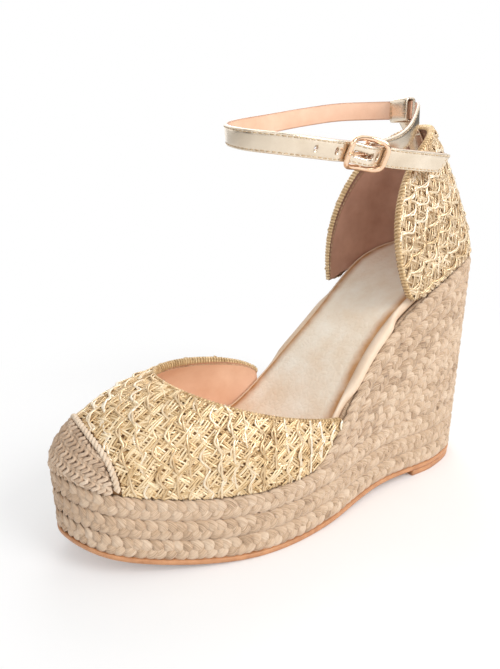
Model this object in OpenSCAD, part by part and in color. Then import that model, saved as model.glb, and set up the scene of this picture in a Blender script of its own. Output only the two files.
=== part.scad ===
// Espadrille wedge sandal, left shoe.
// The toe points to -Y, the heel to +Y, the wearer's left (outer) side to +X and up is +Z.
// The origin lies on the ground, at the middle of the heel lift's resting face.

/* [Sole outline] */
// Length of the sole from the back of the heel to the toe, seen from above
sole_length = 232; // [230:1:234]
// Width of the heel, over the rope
heel_width = 70; // [68:1:72]
// Distance from the long axis to the outer side at the ball
ball_outer = 47; // [46:0.5:48]
// Distance from the long axis to the inner side at the ball
ball_inner = 46; // [45:0.5:47]
// Distance from the long axis to the outer side at the waist
waist_outer = 36; // [35:0.5:37]
// Distance from the long axis to the inner side at the waist
waist_inner = 27; // [26:0.5:28]

/* [Sole heights] */
// Height of the rope edge above the ground at the back of the heel
heel_height = 113; // [112:0.5:114]
// Height of one lower rope course
course_height = 9.2; // [9:0.1:9.4]
// Thickness of the rubber outsole
outsole_thickness = 2.5; // [2:0.1:3]
// Thickness of the heel lift under the outsole
lift_thickness = 3; // [2.6:0.1:3.4]
// Rise of the outsole at the tip of the toe
toe_spring = 13; // [11:0.5:14]
// How far the back of the heel leans forward at the ground
heel_lean = 10; // [8:0.5:11]
// Depth of the rope wall, from its face to the core
rope_depth = 6.5; // [6:0.1:6.6]

/* [Uppers] */
// Thickness of the woven outer layer
shell_thickness = 1.6; // [1.4:0.1:1.6]
// Height of the throat of the vamp above the ground
throat_height = 74; // [72:1:76]
// Distance from the toe to the throat of the vamp
throat_setback = 50; // [48:1:52]
// Length of the toe cap on the centre line
cap_length = 14; // [12:1:15]
// Height of the counter's top above the ground
counter_top = 178; // [177:0.5:179]

/* [Ankle strap] */
// Width of the ankle strap
strap_width = 9; // [8:0.5:9]
// Thickness of the strap's outer leather
strap_leather = 1.2; // [1:0.1:1.3]
// Thickness of the strap's lining
strap_lining = 0.7; // [0.5:0.1:0.8]
// Radius of the buckle's wire
wire_radius = 1; // [0.9:0.05:1.1]
// Length of the buckle along the strap
buckle_length = 22; // [21:0.5:23]
// Width of the buckle across the strap
buckle_width = 15; // [14.5:0.5:15.5]

/* [Hidden] */

gap = 0.05;              // clearance between flat neighbouring layers, per side
seat_gap = 0.55;         // clearance under the uppers and behind the rope wall
counter_seat_gap = 1.4;  // clearance under the counter, where the rope edge twists
course_gap = 0.36;       // groove between two rope courses
lower_courses = 3;       // rope courses that run round the whole sole
fan_courses = 9;         // rope courses that fan out round the heel
sides_round = 64;        // stations round the outline
heel_radius = heel_width / 2;
heel_back = 36;
toe_tip = heel_back - sole_length;
ball_y = -118;           // foremost point that rests on the ground
arch_front = -105;       // where the outsole starts to lift towards the heel
arch_length = 75;
lift_front = -22;        // front edge of the heel lift
lean_front = -30;        // where the lean of the heel wall starts
lean_length = 50;
footbed_break = -98;     // where the footbed starts to climb
seat_pitch = 9;          // slope of the heel seat, degrees
wing_y = -74;            // back corners of the vamp
wing_turn = 3.65;        // outline position of the vamp's outer back corner
counter_y = -24;         // front corners of the counter
counter_turn = 2.42;     // outline position of the counter's outer front corner
upper_inset = 1.5;       // from the rope's face to the face of the uppers
cap_sweep = 7;           // how far the cap's edge falls back at 30 mm off the centre line
cap_edge_width = 1.3;    // half the width of the cap's corded edge
binding_width = 2.4;
layer_mid = [1.95, 2.3];     // depths of the stiffeners under the uppers' face
layer_inner = [2.65, 3.5];   // depths of the linings
tab_depth = [3.75, 4.75];    // depths of the heel tab
inner_depth = 7;         // from the rope's face to the boards of the insole

rope_color = "BurlyWood";
raffia_color = "DarkKhaki";
lining_color = "RosyBrown";
gold_color = "Gold";

// ---------------------------------------------------------------- small maths

function mix(a, b, t) = a + (b - a) * t;
function smooth(t) = let(u = min(1, max(0, t))) u * u * (3 - 2 * u);
function unit(v) = v / norm(v);
function steps(from, to, count) = [for (i = [0:count]) mix(from, to, i / count)];
function bezier(a, b, c, d, t) =
    pow(1 - t, 3) * a + 3 * pow(1 - t, 2) * t * b + 3 * (1 - t) * t * t * c + pow(t, 3) * d;
function spline(a, b, c, d, t) =
    0.5 * (2 * b + (c - a) * t + (2 * a - 5 * b + 4 * c - d) * t * t
           + (3 * b - a - 3 * c + d) * t * t * t);

// ---------------------------------------------------------------- outline and heights

// Shape points of the outline: heel back, outer side, toe, inner side.
outline_knots = [
    [0, heel_back],
    [0.72 * heel_radius, heel_back - 0.24 * heel_radius],
    [heel_radius, heel_back - heel_radius],
    [waist_outer, -45],
    [ball_outer - 1, -88],
    [ball_outer, -122],
    [ball_outer - 11, -158],
    [21, toe_tip + 11],
    [-4, toe_tip],
    [-21.5, toe_tip + 11],
    [8 - ball_inner, -158],
    [-ball_inner, -122],
    [10 - ball_inner, -88],
    [-waist_inner, -45],
    [-heel_radius, heel_back - heel_radius],
    [-0.72 * heel_radius, heel_back - 0.24 * heel_radius]
];
knot_count = len(outline_knots);

// Point of the outline at turn u, from 0 at the heel back to 8 at the toe and 16 back at the heel.
function outline(u) =
    let(v = u + knot_count, k = floor(v), n = knot_count)
    spline(outline_knots[(k - 1) % n], outline_knots[k % n],
           outline_knots[(k + 1) % n], outline_knots[(k + 2) % n], v - k);
function outward(u) = let(d = outline(u + 0.03) - outline(u - 0.03)) unit([-d.y, d.x]);
function inset_point(u, inset) = outline(u) - inset * outward(u);

function sole_bottom(y) =
    toe_spring * pow(max(0, (ball_y - y) / (ball_y - toe_tip)), 2)
    + lift_thickness * smooth((y - arch_front) / arch_length);
function sole_top(y) = sole_bottom(y) + outsole_thickness;
function course_level(y, k) = sole_top(y) + k * course_height;
function platform_top(y) = course_level(y, lower_courses);

footbed_start = [footbed_break, platform_top(footbed_break)];
footbed_end = [heel_back, heel_height];
footbed_curve = [for (t = steps(0, 1, 24))
    bezier(footbed_start, footbed_start + [20, 0],
           footbed_end - 85 * [cos(seat_pitch), sin(seat_pitch)], footbed_end, t)];
function footbed_edge(y) = max(platform_top(y), lookup(y, footbed_curve));
function footbed_slope(y) = (footbed_edge(y + 1) - footbed_edge(y - 1)) / 2;

// Lower boundary of fan course k, measured square to the footbed edge.
fan_height = (heel_height - platform_top(heel_back)) / fan_courses;
function fan_level(y, k) =
    let(square = sqrt(1 + pow(footbed_slope(y), 2)) * cos(seat_pitch))
    max(platform_top(y), footbed_edge(y) - k * fan_height * square);

// Moves a point forward where the heel wall leans.
function leaned(p, z) =
    [p.x, p.y - heel_lean * (1 - z / heel_height) * smooth((p.y - lean_front) / lean_length), z];
function wall_point(u, inset, height) = let(p = inset_point(u, inset)) leaned(p, height(p.y));

// ---------------------------------------------------------------- closed solids from points

function reversed(list) = [for (i = [len(list) - 1:-1:0]) list[i]];
function total(list, i = 0, sum = 0) = i == len(list) ? sum : total(list, i + 1, sum + list[i]);
function face_volume(p, f) = p[f[0]] * cross(p[f[1]], p[f[2]]);
function turned_outward(points, faces) =
    total([for (f = faces) face_volume(points, f)]) > 0 ? [for (f = faces) reversed(f)] : faces;

// Solid through sections with equal numbers of points. The first half of a section is one
// face of the layer and the second half, read backwards, is the other face.
module loft(sections, ring = false) {
    n = len(sections);
    m = len(sections[0]);
    points = [for (s = sections) each s];
    end = (n - 1) * m;
    sides = [for (i = [0:(ring ? n - 1 : n - 2)], j = [0:m - 1])
        let(next = ((i + 1) % n) * m, k = (j + 1) % m)
        each [[i * m + j, i * m + k, next + k], [i * m + j, next + k, next + j]]];
    caps = ring ? [] : [for (j = [0:m / 2 - 2])
        each [[j + 1, j, m - 1 - j], [j + 1, m - 1 - j, m - 2 - j],
              [end + j, end + j + 1, end + m - 1 - j],
              [end + j + 1, end + m - 2 - j, end + m - 1 - j]]];
    polyhedron(points, turned_outward(points, concat(sides, caps)));
}

// Slab that fills the outline, with its two faces at heights that vary along the shoe.
module plate(inset, low, high) {
    n = sides_round;
    turns = [for (i = [0:n - 1]) knot_count * i / n];
    points = [for (height = [low, high], u = turns) wall_point(u, inset, height)];
    ladder = [for (k = [0:n / 2 - 1])
        each [if (k + 1 < n / 2) [k, k + 1, n - k - 1], if (k > 0) [k, n - k - 1, n - k]]];
    rim = [for (k = [0:n - 1]) let(j = (k + 1) % n) each [[j, k, n + k], [j, n + k, n + j]]];
    faces = concat(ladder, [for (f = ladder) [f[2] + n, f[1] + n, f[0] + n]], rim);
    polyhedron(points, turned_outward(points, faces));
}

// Part of a curved layer between two depths under the surface, for a range of ribs.
module layer(ribs, face, low, high, rows, depths) {
    loft([for (r = ribs)
        let(ts = steps(low(r), high(r), rows))
        concat([for (t = ts) face(r, t, depths[0])], [for (t = reversed(ts)) face(r, t, depths[1])])]);
}

// ---------------------------------------------------------------- sole

module outsole() {
    color("Peru")
        plate(0.6, function(y) sole_bottom(y), function(y) sole_top(y) - gap);
}

// The lift is the flat wedge of rubber between the outsole's heel and the ground.
module heel_lift() {
    color("Sienna")
        intersection() {
            plate(0.6, function(y) -lift_thickness, function(y) sole_bottom(y) - gap);
            translate([-heel_width, lift_front, 0])
                cube([2 * heel_width, heel_width, 2 * lift_thickness]);
        }
}

module wedge_core() {
    color("Tan")
        plate(rope_depth + seat_gap, function(y) sole_top(y) + gap, function(y) footbed_edge(y) - gap);
}

module insole_layer(low, high) {
    plate(inner_depth, function(y) footbed_edge(y) + low, function(y) footbed_edge(y) + high);
}

module insole_board() {
    color("SaddleBrown") insole_layer(gap, 2);
}

module footbed_foam() {
    color("Ivory") insole_layer(2 + gap, 3.8);
}

module sock_lining() {
    color("AntiqueWhite") insole_layer(3.8 + gap, 4.8);
}

// Smooth strip wrapped over the edge of the insole. It is wide where it shows at the waist
// and narrow where the uppers cover it.
function rand_inset(y) =
    mix(5.4, 2, smooth((y - wing_y - 4) / 9) * smooth((counter_y - 6 - y) / 9));

module insole_rand() {
    color("Linen")
        loft([for (i = [0:sides_round - 1])
            let(u = knot_count * i / sides_round,
                outer = rand_inset(inset_point(u, 2).y),
                shoulder = mix(outer, inner_depth, 0.3),
                inner = inner_depth - 2 * gap,
                corners = [[outer, 0.3], [outer, 3], [shoulder, 4.6],
                           [inner, 4.8], [inner, 3], [inner, 0.3]])
            [for (corner = corners) wall_point(u, corner[0], function(y) footbed_edge(y) + corner[1])]],
            ring = true);
}

// ---------------------------------------------------------------- rope wall

// Section of a braided course, with a rounded face.
function course_section(u, low, high) =
    let(under = function(y) low(y) + course_gap / 2,
        over = function(y) high(y) - course_gap / 2,
        middle = function(y) (low(y) + high(y)) / 2)
    [wall_point(u, 1, under), wall_point(u, 0, middle), wall_point(u, 1, over),
     wall_point(u, rope_depth, over), wall_point(u, rope_depth, middle),
     wall_point(u, rope_depth, under)];

module rope_course(k) {
    color(rope_color)
        loft([for (i = [0:sides_round - 1])
            course_section(knot_count * i / sides_round, function(y) course_level(y, k - 1),
                           function(y) course_level(y, k))],
            ring = true);
}

// Outline position where fan course k runs out on the lower courses.
function fan_start(k, side) =
    let(room = function(u) let(y = outline(u).y) fan_level(y, k - 1) - platform_top(y))
    lookup(1.5, [for (u = [4.4:-0.1:0.5]) [room(side * u) + 0.0001 * (5 - u), u]]);

// All stations round the heel, from the outer waist to the inner waist: an even pitch, with
// the ends of the fan courses between, so that neighbouring courses share their stations.
station_pitch = knot_count / sides_round;
outer_ends = [for (k = [1:fan_courses]) fan_start(k, 1)];
inner_ends = [for (k = [fan_courses:-1:1]) -fan_start(k, -1)];
heel_stations = [for (i = [sides_round / 3:-1:-sides_round / 3])
    let(u = floor(i) * station_pitch)
    each concat([u], [for (e = concat(outer_ends, inner_ends)) if (e < u && e > u - station_pitch) e])];

module fan_course(k) {
    first = outer_ends[k - 1];
    last = inner_ends[fan_courses - k];
    color(rope_color)
        loft([for (u = heel_stations) if (u <= first && u >= last)
            let(face_y = outline(u).y)
            course_section(u, function(y) fan_level(face_y, k),
                           function(y) fan_level(k == 1 ? y : face_y, k - 1))]);
}

// ---------------------------------------------------------------- vamp and toe cap

topline_centre = 3.5;
topline_outer = 37.5;
topline_inner = 33;
topline_length = wing_y - toe_tip - throat_setback;
inner_rise = 10;         // extra height of the topline on the inner side
wing_height = 2.5;       // height of the vamp at its back corners

function rib_angle(u) = 180 * (u - wing_turn) / (knot_count - 2 * wing_turn);
function topline(u) =
    let(a = rib_angle(u), c = cos(a), f = pow(sin(a), 0.8),
        x = topline_centre + (c > 0 ? topline_outer : -topline_inner) * pow(abs(c), 0.8),
        low = footbed_edge(wing_y) + wing_height,
        rise = c < 0 ? 2.6 * inner_rise * sqrt(f) * (1 - f) : 0)
    [x, wing_y - topline_length * f, mix(low, throat_height, pow(f, 1.4)) + rise];

// Point of the vamp's surface on the rib at turn u, from t = 0 at the sole to 1 at the topline.
function vamp_surface(u, t) =
    let(p = inset_point(u, upper_inset),
        foot = [p.x, p.y, footbed_edge(p.y) + seat_gap],
        top = topline(u),
        across = [foot.x - top.x, foot.y - top.y, 0],
        drop = 0.06 * norm(across) + 0.3 * max(0, top.z - foot.z - 0.8 * norm(across)))
    bezier(foot, foot + [0, 0, 0.55 * (top.z - foot.z)], top + 0.45 * across - [0, 0, drop], top, t);
function vamp_normal(u, t) =
    unit(cross(vamp_surface(u + 0.02, t) - vamp_surface(u - 0.02, t),
               vamp_surface(u, t + 0.01) - vamp_surface(u, t - 0.01)));
function vamp_face(u, t, depth) = vamp_surface(u, t) + depth * vamp_normal(u, t);
function rib_length(u) =
    norm(vamp_surface(u, 0.5) - vamp_surface(u, 0)) + norm(vamp_surface(u, 1) - vamp_surface(u, 0.5));

// Signed distance of a rib point behind the toe cap's edge line.
function behind_cap(u, t) =
    let(p = vamp_surface(u, t)) p.y - (toe_tip + cap_length + cap_sweep * pow(p.x / 30, 2));
function cap_edge(u) = lookup(0, [for (t = [0:0.05:1]) [behind_cap(u, t), t]]);
cap_from = lookup(0, [for (u = [8:-0.1:6]) [behind_cap(u, 0), u]]);
cap_to = lookup(0, [for (u = [8:0.1:10]) [behind_cap(u, 0), u]]);
function edge_share(u, width) = width / rib_length(u);

// Lower edge of the vamp: on the sole, or behind the cap's edging.
function vamp_start(u) =
    u < cap_from - 0.15 || u > cap_to + 0.15 ? 0
        : cap_edge(u) + edge_share(u, cap_edge_width + seat_gap);
function vamp_end(u) = 1 - min(0.5, edge_share(u, binding_width));
vamp_ribs = steps(wing_turn + 0.05, knot_count - wing_turn - 0.05, 44);
cap_ribs = steps(cap_from + 0.06, cap_to - 0.06, 18);

module vamp() {
    color(raffia_color)
        layer(vamp_ribs, function(u, t, d) vamp_face(u, t, d), function(u) vamp_start(u),
              function(u) vamp_end(u), 12, [0, shell_thickness]);
}

module vamp_lining() {
    color(lining_color)
        layer(vamp_ribs, function(u, t, d) vamp_face(u, t, d), function(u) 0,
              function(u) vamp_end(u), 12, layer_inner);
}

module vamp_binding() {
    color(raffia_color)
        layer([for (i = [1:len(vamp_ribs) - 2]) vamp_ribs[i]], function(u, t, d) vamp_face(u, t, d),
              function(u) vamp_end(u) + min(0.15, edge_share(u, seat_gap)), function(u) 1, 2,
              [-0.5, layer_mid[1]]);
}

module toe_cap() {
    color("Wheat")
        layer(cap_ribs, function(u, t, d) vamp_face(u, t, d), function(u) 0,
              function(u) max(0.02, cap_edge(u) - edge_share(u, cap_edge_width + seat_gap)), 6,
              [-0.9, shell_thickness]);
}

module toe_cap_edging() {
    color("Cornsilk")
        layer(steps(cap_from, cap_to, 20), function(u, t, d) vamp_face(u, t, d),
              function(u) max(0.02, cap_edge(u) - edge_share(u, cap_edge_width) + 0.002),
              function(u) max(0.04, cap_edge(u) + edge_share(u, cap_edge_width)), 2,
              [-1.4, shell_thickness - 0.2]);
}

// Stiff toe piece between the cap and the lining.
module toe_puff() {
    color("Gainsboro")
        layer(cap_ribs, function(u, t, d) vamp_face(u, t, d), function(u) 0,
              function(u) max(0.04, cap_edge(u)), 6, layer_mid);
}

// ---------------------------------------------------------------- counter

counter_lean = 22;       // how far the counter's top leans forward at the back

// The counter's edge is a curve pulled forward at two heights. Each pull is a distance forward
// of the front corner and a height; the inner side bulges less.
counter_nose = [16, 117];
counter_shoulder = [14, 159];
inner_nose = [1, 112];
inner_shoulder = [7, 152];
function counter_rise(z) = min(1.1, max(0, (z - heel_height) / (counter_top - heel_height)));
function counter_half_width(z) = 33.4 - 15.5 * pow(max(0, (z - 105) / 71), 1.6);
function counter_back(z) = heel_back - upper_inset - counter_lean * pow(counter_rise(z), 1.7);
counter_edge_start = [counter_y, footbed_edge(counter_y) + 4];
counter_edge_end = [counter_back(counter_top), counter_top];
function counter_edge(v, side) =
    let(nose = side < 0 ? inner_nose : counter_nose,
        shoulder = side < 0 ? inner_shoulder : counter_shoulder)
    bezier(counter_edge_start, [counter_y - nose[0], nose[1]], [counter_y - shoulder[0], shoulder[1]],
           counter_edge_end, v);

// Half width of the counter at a place along the shoe and a height. Its sides are straight as
// far back as the turn.
function counter_half(y, z) =
    let(turn = mix(3, -15, counter_rise(z)), reach = counter_back(z) - turn,
        f = min(1, max(0, (y - turn) / reach)))
    counter_half_width(z) * pow(1 - pow(f, 2.2), 1 / 2.2);

// Point of the counter at s, from 1 at the outer front corner through 0 at the back to -1 at
// the inner front corner, and w, from 0 at the sole to 1 at the edge.
function counter_surface(s, w) =
    let(side = s < 0 ? -1 : 1, v = 1 - s * s, u = counter_turn * s,
        foot = inset_point(u, upper_inset), foot_z = footbed_edge(foot.y) + counter_seat_gap,
        edge = counter_edge(v, side),
        z = mix(foot_z, edge[1], w),
        bulge = counter_back(z) - mix(counter_back(foot_z), counter_back(edge[1]), w),
        y = mix(foot.y, edge[0], w) + bulge * pow(v, 4),
        slip = foot.x - side * counter_half(foot.y, foot_z))
    [side * counter_half(y, z) + slip * pow(1 - w, 2), y, z];
function counter_normal(s, w) =
    unit(cross(counter_surface(s + 0.015, w) - counter_surface(s - 0.015, w),
               counter_surface(s, w + 0.02) - counter_surface(s, w - 0.02)));
function counter_face(s, w, depth) = counter_surface(s, w) + depth * counter_normal(s, w);
function counter_rib(s) = norm(counter_surface(s, 1) - counter_surface(s, 0));
function counter_end(s) = 1 - min(0.6, binding_width / counter_rib(s));
counter_ribs = steps(0.985, -0.985, 40);
counter_rows = 6;
stiffener_reach = 0.72;  // part of the counter's length that the stiffener covers

module counter_layer(ribs, rows, depths) {
    layer(ribs, function(s, w, d) counter_face(s, w, d), function(s) 0,
          function(s) rows / counter_rows * counter_end(s), rows, depths);
}

module counter_shell() {
    color(raffia_color)
        counter_layer(counter_ribs, counter_rows, [0, shell_thickness]);
}

module counter_stiffener() {
    color("Gainsboro")
        counter_layer([for (s = counter_ribs) if (abs(s) < stiffener_reach) s], counter_rows - 2,
                      layer_mid);
}

module counter_lining() {
    color(lining_color)
        counter_layer(counter_ribs, counter_rows, layer_inner);
}

module counter_binding() {
    color(raffia_color)
        layer(counter_ribs, function(s, w, d) counter_face(s, w, d),
              function(s) counter_end(s) + seat_gap / counter_rib(s), function(s) 1, 2,
              [-0.5, layer_inner[1] + 0.1]);
}

// Gold leather tab sewn inside the counter's top.
module heel_tab() {
    color(gold_color)
        layer(steps(0.03, -0.13, 8), function(s, w, d) counter_face(s, w, d), function(s) 0.82,
              function(s) 1.03, 4, tab_depth);
}

// ---------------------------------------------------------------- ankle strap

loop_centre = [-4, 3, 185.4];
loop_length = 12;
loop_wall = 0.9;
loop_shift = -0.85;      // the strap curves forward inside the straight loop
neck_height = 1.2;       // short neck that joins the loop to the heel tab
neck_reach = 2.4;        // how far the neck reaches back over the tab
lap = strap_leather + strap_lining + 2 * gap;

// Shape points of the strap: through the heel loop, round the inner side, the front of the
// ankle and the outer side, to the tip behind the buckle.
strap_knots = [
    [22, -18, 182], [9.5, -1.5, 184.6], loop_centre, [-17, -4, 186], [-28, -20, 186], [-33, -39, 184],
    [-31, -62, 181], [-23, -86, 178], [-8, -100, 175.5], [9, -102.5, 173], [21, -95, 171],
    [27.5, -80, 168.6], [30.3, -62, 166], [31.6, -44, 163.4], [32.2, -22, 161], [31.5, -2, 159],
    [30, 18, 157], [28, 38, 155]
];
strap_lean = [0, 0, 0, 0, 0, 0, 0, 0, 4, 10, 16, 20, 22, 22, 20, 16, 12, 8];
strap_tip_turn = 13;
tip_slant = 30;
hole_turns = [9.05, 9.6, 10.75];     // holes beside the one that the prong goes through

// Value between the entries of a list; entry 2 is at position 0.
function between(list, u) =
    let(v = u + 2, k = floor(v)) spline(list[k - 1], list[k], list[k + 1], list[k + 2], v - k);
function strap_centre(u) = between(strap_knots, u);
function strap_along(u) = unit(strap_centre(u + 0.02) - strap_centre(u - 0.02));
function strap_outward(u) =
    let(t = strap_along(u), b = unit([0, 0, 1] - t.z * t), n = cross(t, b), a = between(strap_lean, u))
    cos(a) * n - sin(a) * b;
function strap_up(u) = cross(strap_outward(u), strap_along(u));

buckle_turn = 10.45;     // strap position of the buckle's bar
bar_depth = -1.5;        // bar below the strap's middle plane
side_height = 3.2;       // how far the frame's sides arch above the bar

// The strap rises over the bar and dips under the frame's two sides.
function strap_bump(u) =
    let(d = (u - buckle_turn) * 18) 1.7 * exp(-pow(d / 4, 2)) - 0.9 * exp(-pow((abs(d) - 10) / 4, 2));
function strap_point(u, across, depth) =
    strap_centre(u) + across * strap_up(u) + (depth + strap_bump(u)) * strap_outward(u);

function strap_section(u, low, high) =
    [strap_point(u, -strap_width / 2, high), strap_point(u, strap_width / 2, high),
     strap_point(u, strap_width / 2, low), strap_point(u, -strap_width / 2, low)];

module strap_piece(from, to, count, low, high) {
    loft([for (u = steps(from, to, count)) strap_section(u, low, high)]);
}

module strap_leather_piece(from, to, count) {
    color(gold_color) strap_piece(from, to, count, gap, strap_leather);
}

module strap_lining_piece(from, to, count) {
    color(lining_color) strap_piece(from, to, count, -strap_lining - gap, -gap);
}

// Strap positions where the strap bends; a short gap there lets two lengths fold.
side_turn = 0.62;
front_turn = 4.75;
end_turn = 8.3;
fold_gap = 0.06;
back_turn = -0.5;

module strap_back() {
    strap_leather_piece(back_turn, side_turn - fold_gap, 6);
}

module strap_back_lining() {
    strap_lining_piece(back_turn, side_turn - fold_gap, 6);
}

module strap_side() {
    strap_leather_piece(side_turn + fold_gap, front_turn - fold_gap, 16);
}

module strap_side_lining() {
    strap_lining_piece(side_turn + fold_gap, front_turn - fold_gap, 16);
}

module strap_front() {
    strap_leather_piece(front_turn + fold_gap, end_turn - fold_gap, 16);
}

module strap_front_lining() {
    strap_lining_piece(front_turn + fold_gap, end_turn - fold_gap, 16);
}

// Places a child at a strap position, with X outward, Y along the strap and Z across it.
module at_strap(u) {
    c = strap_centre(u);
    x = strap_outward(u);
    y = strap_along(u);
    z = strap_up(u);
    multmatrix([[x.x, y.x, z.x, c.x], [x.y, y.y, z.y, c.y], [x.z, y.z, z.z, c.z], [0, 0, 0, 1]])
        children();
}

module strap_holes() {
    for (u = hole_turns)
        at_strap(u)
            rotate([0, 90, 0]) cylinder(h = 8, r = 0.9, center = true, $fn = 32);
    at_strap(buckle_turn)
        translate([-6, -6.8, -1.1]) cube([12, 5.2, 2.2]);
}

// The tip is cut on a slant, so that its upper edge is longer.
module tip_cut() {
    at_strap(strap_tip_turn)
        mirror([0, 0, 1])
            translate([-5, -1, -strap_width / 2 - 1])
                rotate([tip_slant, 0, 0]) cube([10, 12, 2 * strap_width]);
}

module strap_end() {
    color(gold_color)
        difference() {
            strap_piece(end_turn + fold_gap, strap_tip_turn, 30, gap, strap_leather);
            strap_holes();
            tip_cut();
        }
}

module strap_end_lining() {
    color(lining_color)
        difference() {
            strap_piece(end_turn + fold_gap, strap_tip_turn, 30, -strap_lining - gap, -gap);
            strap_holes();
            tip_cut();
        }
}

// Flat tunnel of gold leather that holds the strap at the heel.
module heel_loop() {
    slot_depth = lap + 2.6;
    slot_height = strap_width + 0.8;
    outer_depth = slot_depth + 2 * loop_wall;
    outer_height = slot_height + 2 * loop_wall;
    color(gold_color)
        translate(loop_centre + [-loop_length / 2, loop_shift, 0])
            difference() {
                translate([0, -outer_depth / 2, -outer_height / 2]) {
                    cube([loop_length, outer_depth, outer_height]);
                    translate([0, outer_depth - loop_wall, -neck_height])
                        cube([loop_length, loop_wall + neck_reach, neck_height]);
                    translate([0, outer_depth - loop_wall, -neck_height])
                        cube([loop_length, loop_wall, neck_height + 1]);
                }
                translate([-1, -slot_depth / 2, -slot_height / 2])
                    cube([loop_length + 2, slot_depth, slot_height]);
            }
}

// ---------------------------------------------------------------- buckle

bar_radius = 0.85;
eye_bore = bar_radius + 0.08;
eye_radius = eye_bore + 1;
eye_width = 8.6;
prong_slot = 2.4;
prong_radius = 0.75;

// Shape points of the short strap from the heel loop to the buckle's bar.
short_knots = [
    [-13, 0, 185.5], [-1, 4, 185.2], [9.5, -0.5, 183], [19.5, -14.5, 174.5], [25, -27, 169.5],
    [28, -40, 166.8], [29.1, -52.6, 165.1], [29.1, -66, 162], [29, -80, 159]
];
short_start = -0.3;
short_end = 4;
short_thickness = 1.4;
short_lean = 20;         // lean of the strap's face at the bar
function short_centre(u) = between(short_knots, u);
function short_along(u) = unit(short_centre(u + 0.02) - short_centre(u - 0.02));
function short_outward(u) =
    let(t = short_along(u), b = unit([0, 0, 1] - t.z * t), n = cross(b, t),
        a = short_lean * smooth(u / short_end))
    cos(a) * n - sin(a) * b;
function short_section(u) =
    let(c = short_centre(u), n = short_outward(u),
        side = strap_width / 2 * cross(short_along(u), n), face = short_thickness / 2 * n)
    [c - side + face, c + side + face, c + side - face, c - side - face];

// Places a child on the buckle's bar, with X outward, Y along the strap and Z along the bar.
module at_bar() {
    at_strap(buckle_turn) translate([bar_depth, 0, 0]) children();
}

// Short strap folded round the bar, with a slot for the prong.
module buckle_strap() {
    color(gold_color)
        difference() {
            union() {
                loft([for (u = steps(short_start, short_end, 16)) short_section(u)]);
                at_bar() cylinder(h = eye_width, r = eye_radius, center = true, $fn = 48);
            }
            at_bar() cylinder(h = 3 * eye_width, r = eye_bore, center = true, $fn = 48);
            at_bar() translate([-5, -5, -prong_slot / 2]) cube([10, 8.2, prong_slot]);
        }
}

// Centre line of the frame: a rounded rectangle whose two ends arch outward.
function frame_path(i, n) =
    let(a = 360 * i / n,
        half_y = buckle_length / 2 - wire_radius,
        half_z = buckle_width / 2 - wire_radius,
        y = half_y * pow(abs(cos(a)), 0.45) * sign(cos(a)),
        z = half_z * pow(abs(sin(a)), 0.45) * sign(sin(a)))
    [side_height * pow(y / half_y, 2), y, z];
function frame_ring(i, n) =
    let(c = frame_path(i, n), t = unit(frame_path(i + 0.5, n) - frame_path(i - 0.5, n)),
        x = unit([1, 0, 0] - t.x * t), z = cross(t, x))
    [for (k = [0:7]) c + wire_radius * (cos(45 * k) * x + sin(45 * k) * z)];

module buckle_frame() {
    color("RosyBrown")
        at_bar() {
            loft([for (i = [0:39]) frame_ring(i, 40)], ring = true);
            cylinder(h = buckle_width - 2 * wire_radius, r = bar_radius, center = true, $fn = 48);
        }
}

// The prong turns on the bar and rests across the front side of the frame.
module buckle_prong() {
    reach = buckle_length / 2 + 0.6;
    rest_height = side_height + wire_radius + prong_radius + 0.2;
    rise = atan(rest_height / (reach - 1.6));
    color("RosyBrown")
        at_bar() {
            difference() {
                union() {
                    cylinder(h = 2 * prong_radius, r = eye_bore + 0.75, center = true, $fn = 48);
                    rotate([0, 0, rise])
                        rotate([90, 0, 0]) cylinder(h = reach / cos(rise), r = prong_radius, $fn = 32);
                }
                cylinder(h = 6, r = eye_bore, center = true, $fn = 48);
            }
        }
}

outsole();
heel_lift();
wedge_core();
insole_board();
footbed_foam();
sock_lining();
insole_rand();
rope_course(1);  // rope_course_1
rope_course(2);  // rope_course_2
rope_course(3);  // rope_course_3
fan_course(1);  // fan_course_1
fan_course(2);  // fan_course_2
fan_course(3);  // fan_course_3
fan_course(4);  // fan_course_4
fan_course(5);  // fan_course_5
fan_course(6);  // fan_course_6
fan_course(7);  // fan_course_7
fan_course(8);  // fan_course_8
fan_course(9);  // fan_course_9
toe_cap();
toe_cap_edging();
toe_puff();
vamp();
vamp_lining();
vamp_binding();
counter_shell();
counter_stiffener();
counter_lining();
counter_binding();
heel_tab();
heel_loop();
strap_back();
strap_back_lining();
strap_side();
strap_side_lining();
strap_front();
strap_front_lining();
strap_end();
strap_end_lining();
buckle_strap();
buckle_frame();
buckle_prong();
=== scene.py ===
"""Looks of the wedge sandal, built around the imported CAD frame.

Shapes are worked out in millimetres in the CAD frame; build_mesh() turns them into metres.
A turn is a place on the sole's outline: 0 at the back of the heel, 8 at the toe, 16 back at the heel.
The toe points to -Y, the wearer's left (outer) side to +X and up is +Z.
"""

import math

import bmesh
import bpy
import numpy as np
from mathutils import Matrix, Vector
from mathutils.bvhtree import BVHTree


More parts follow.
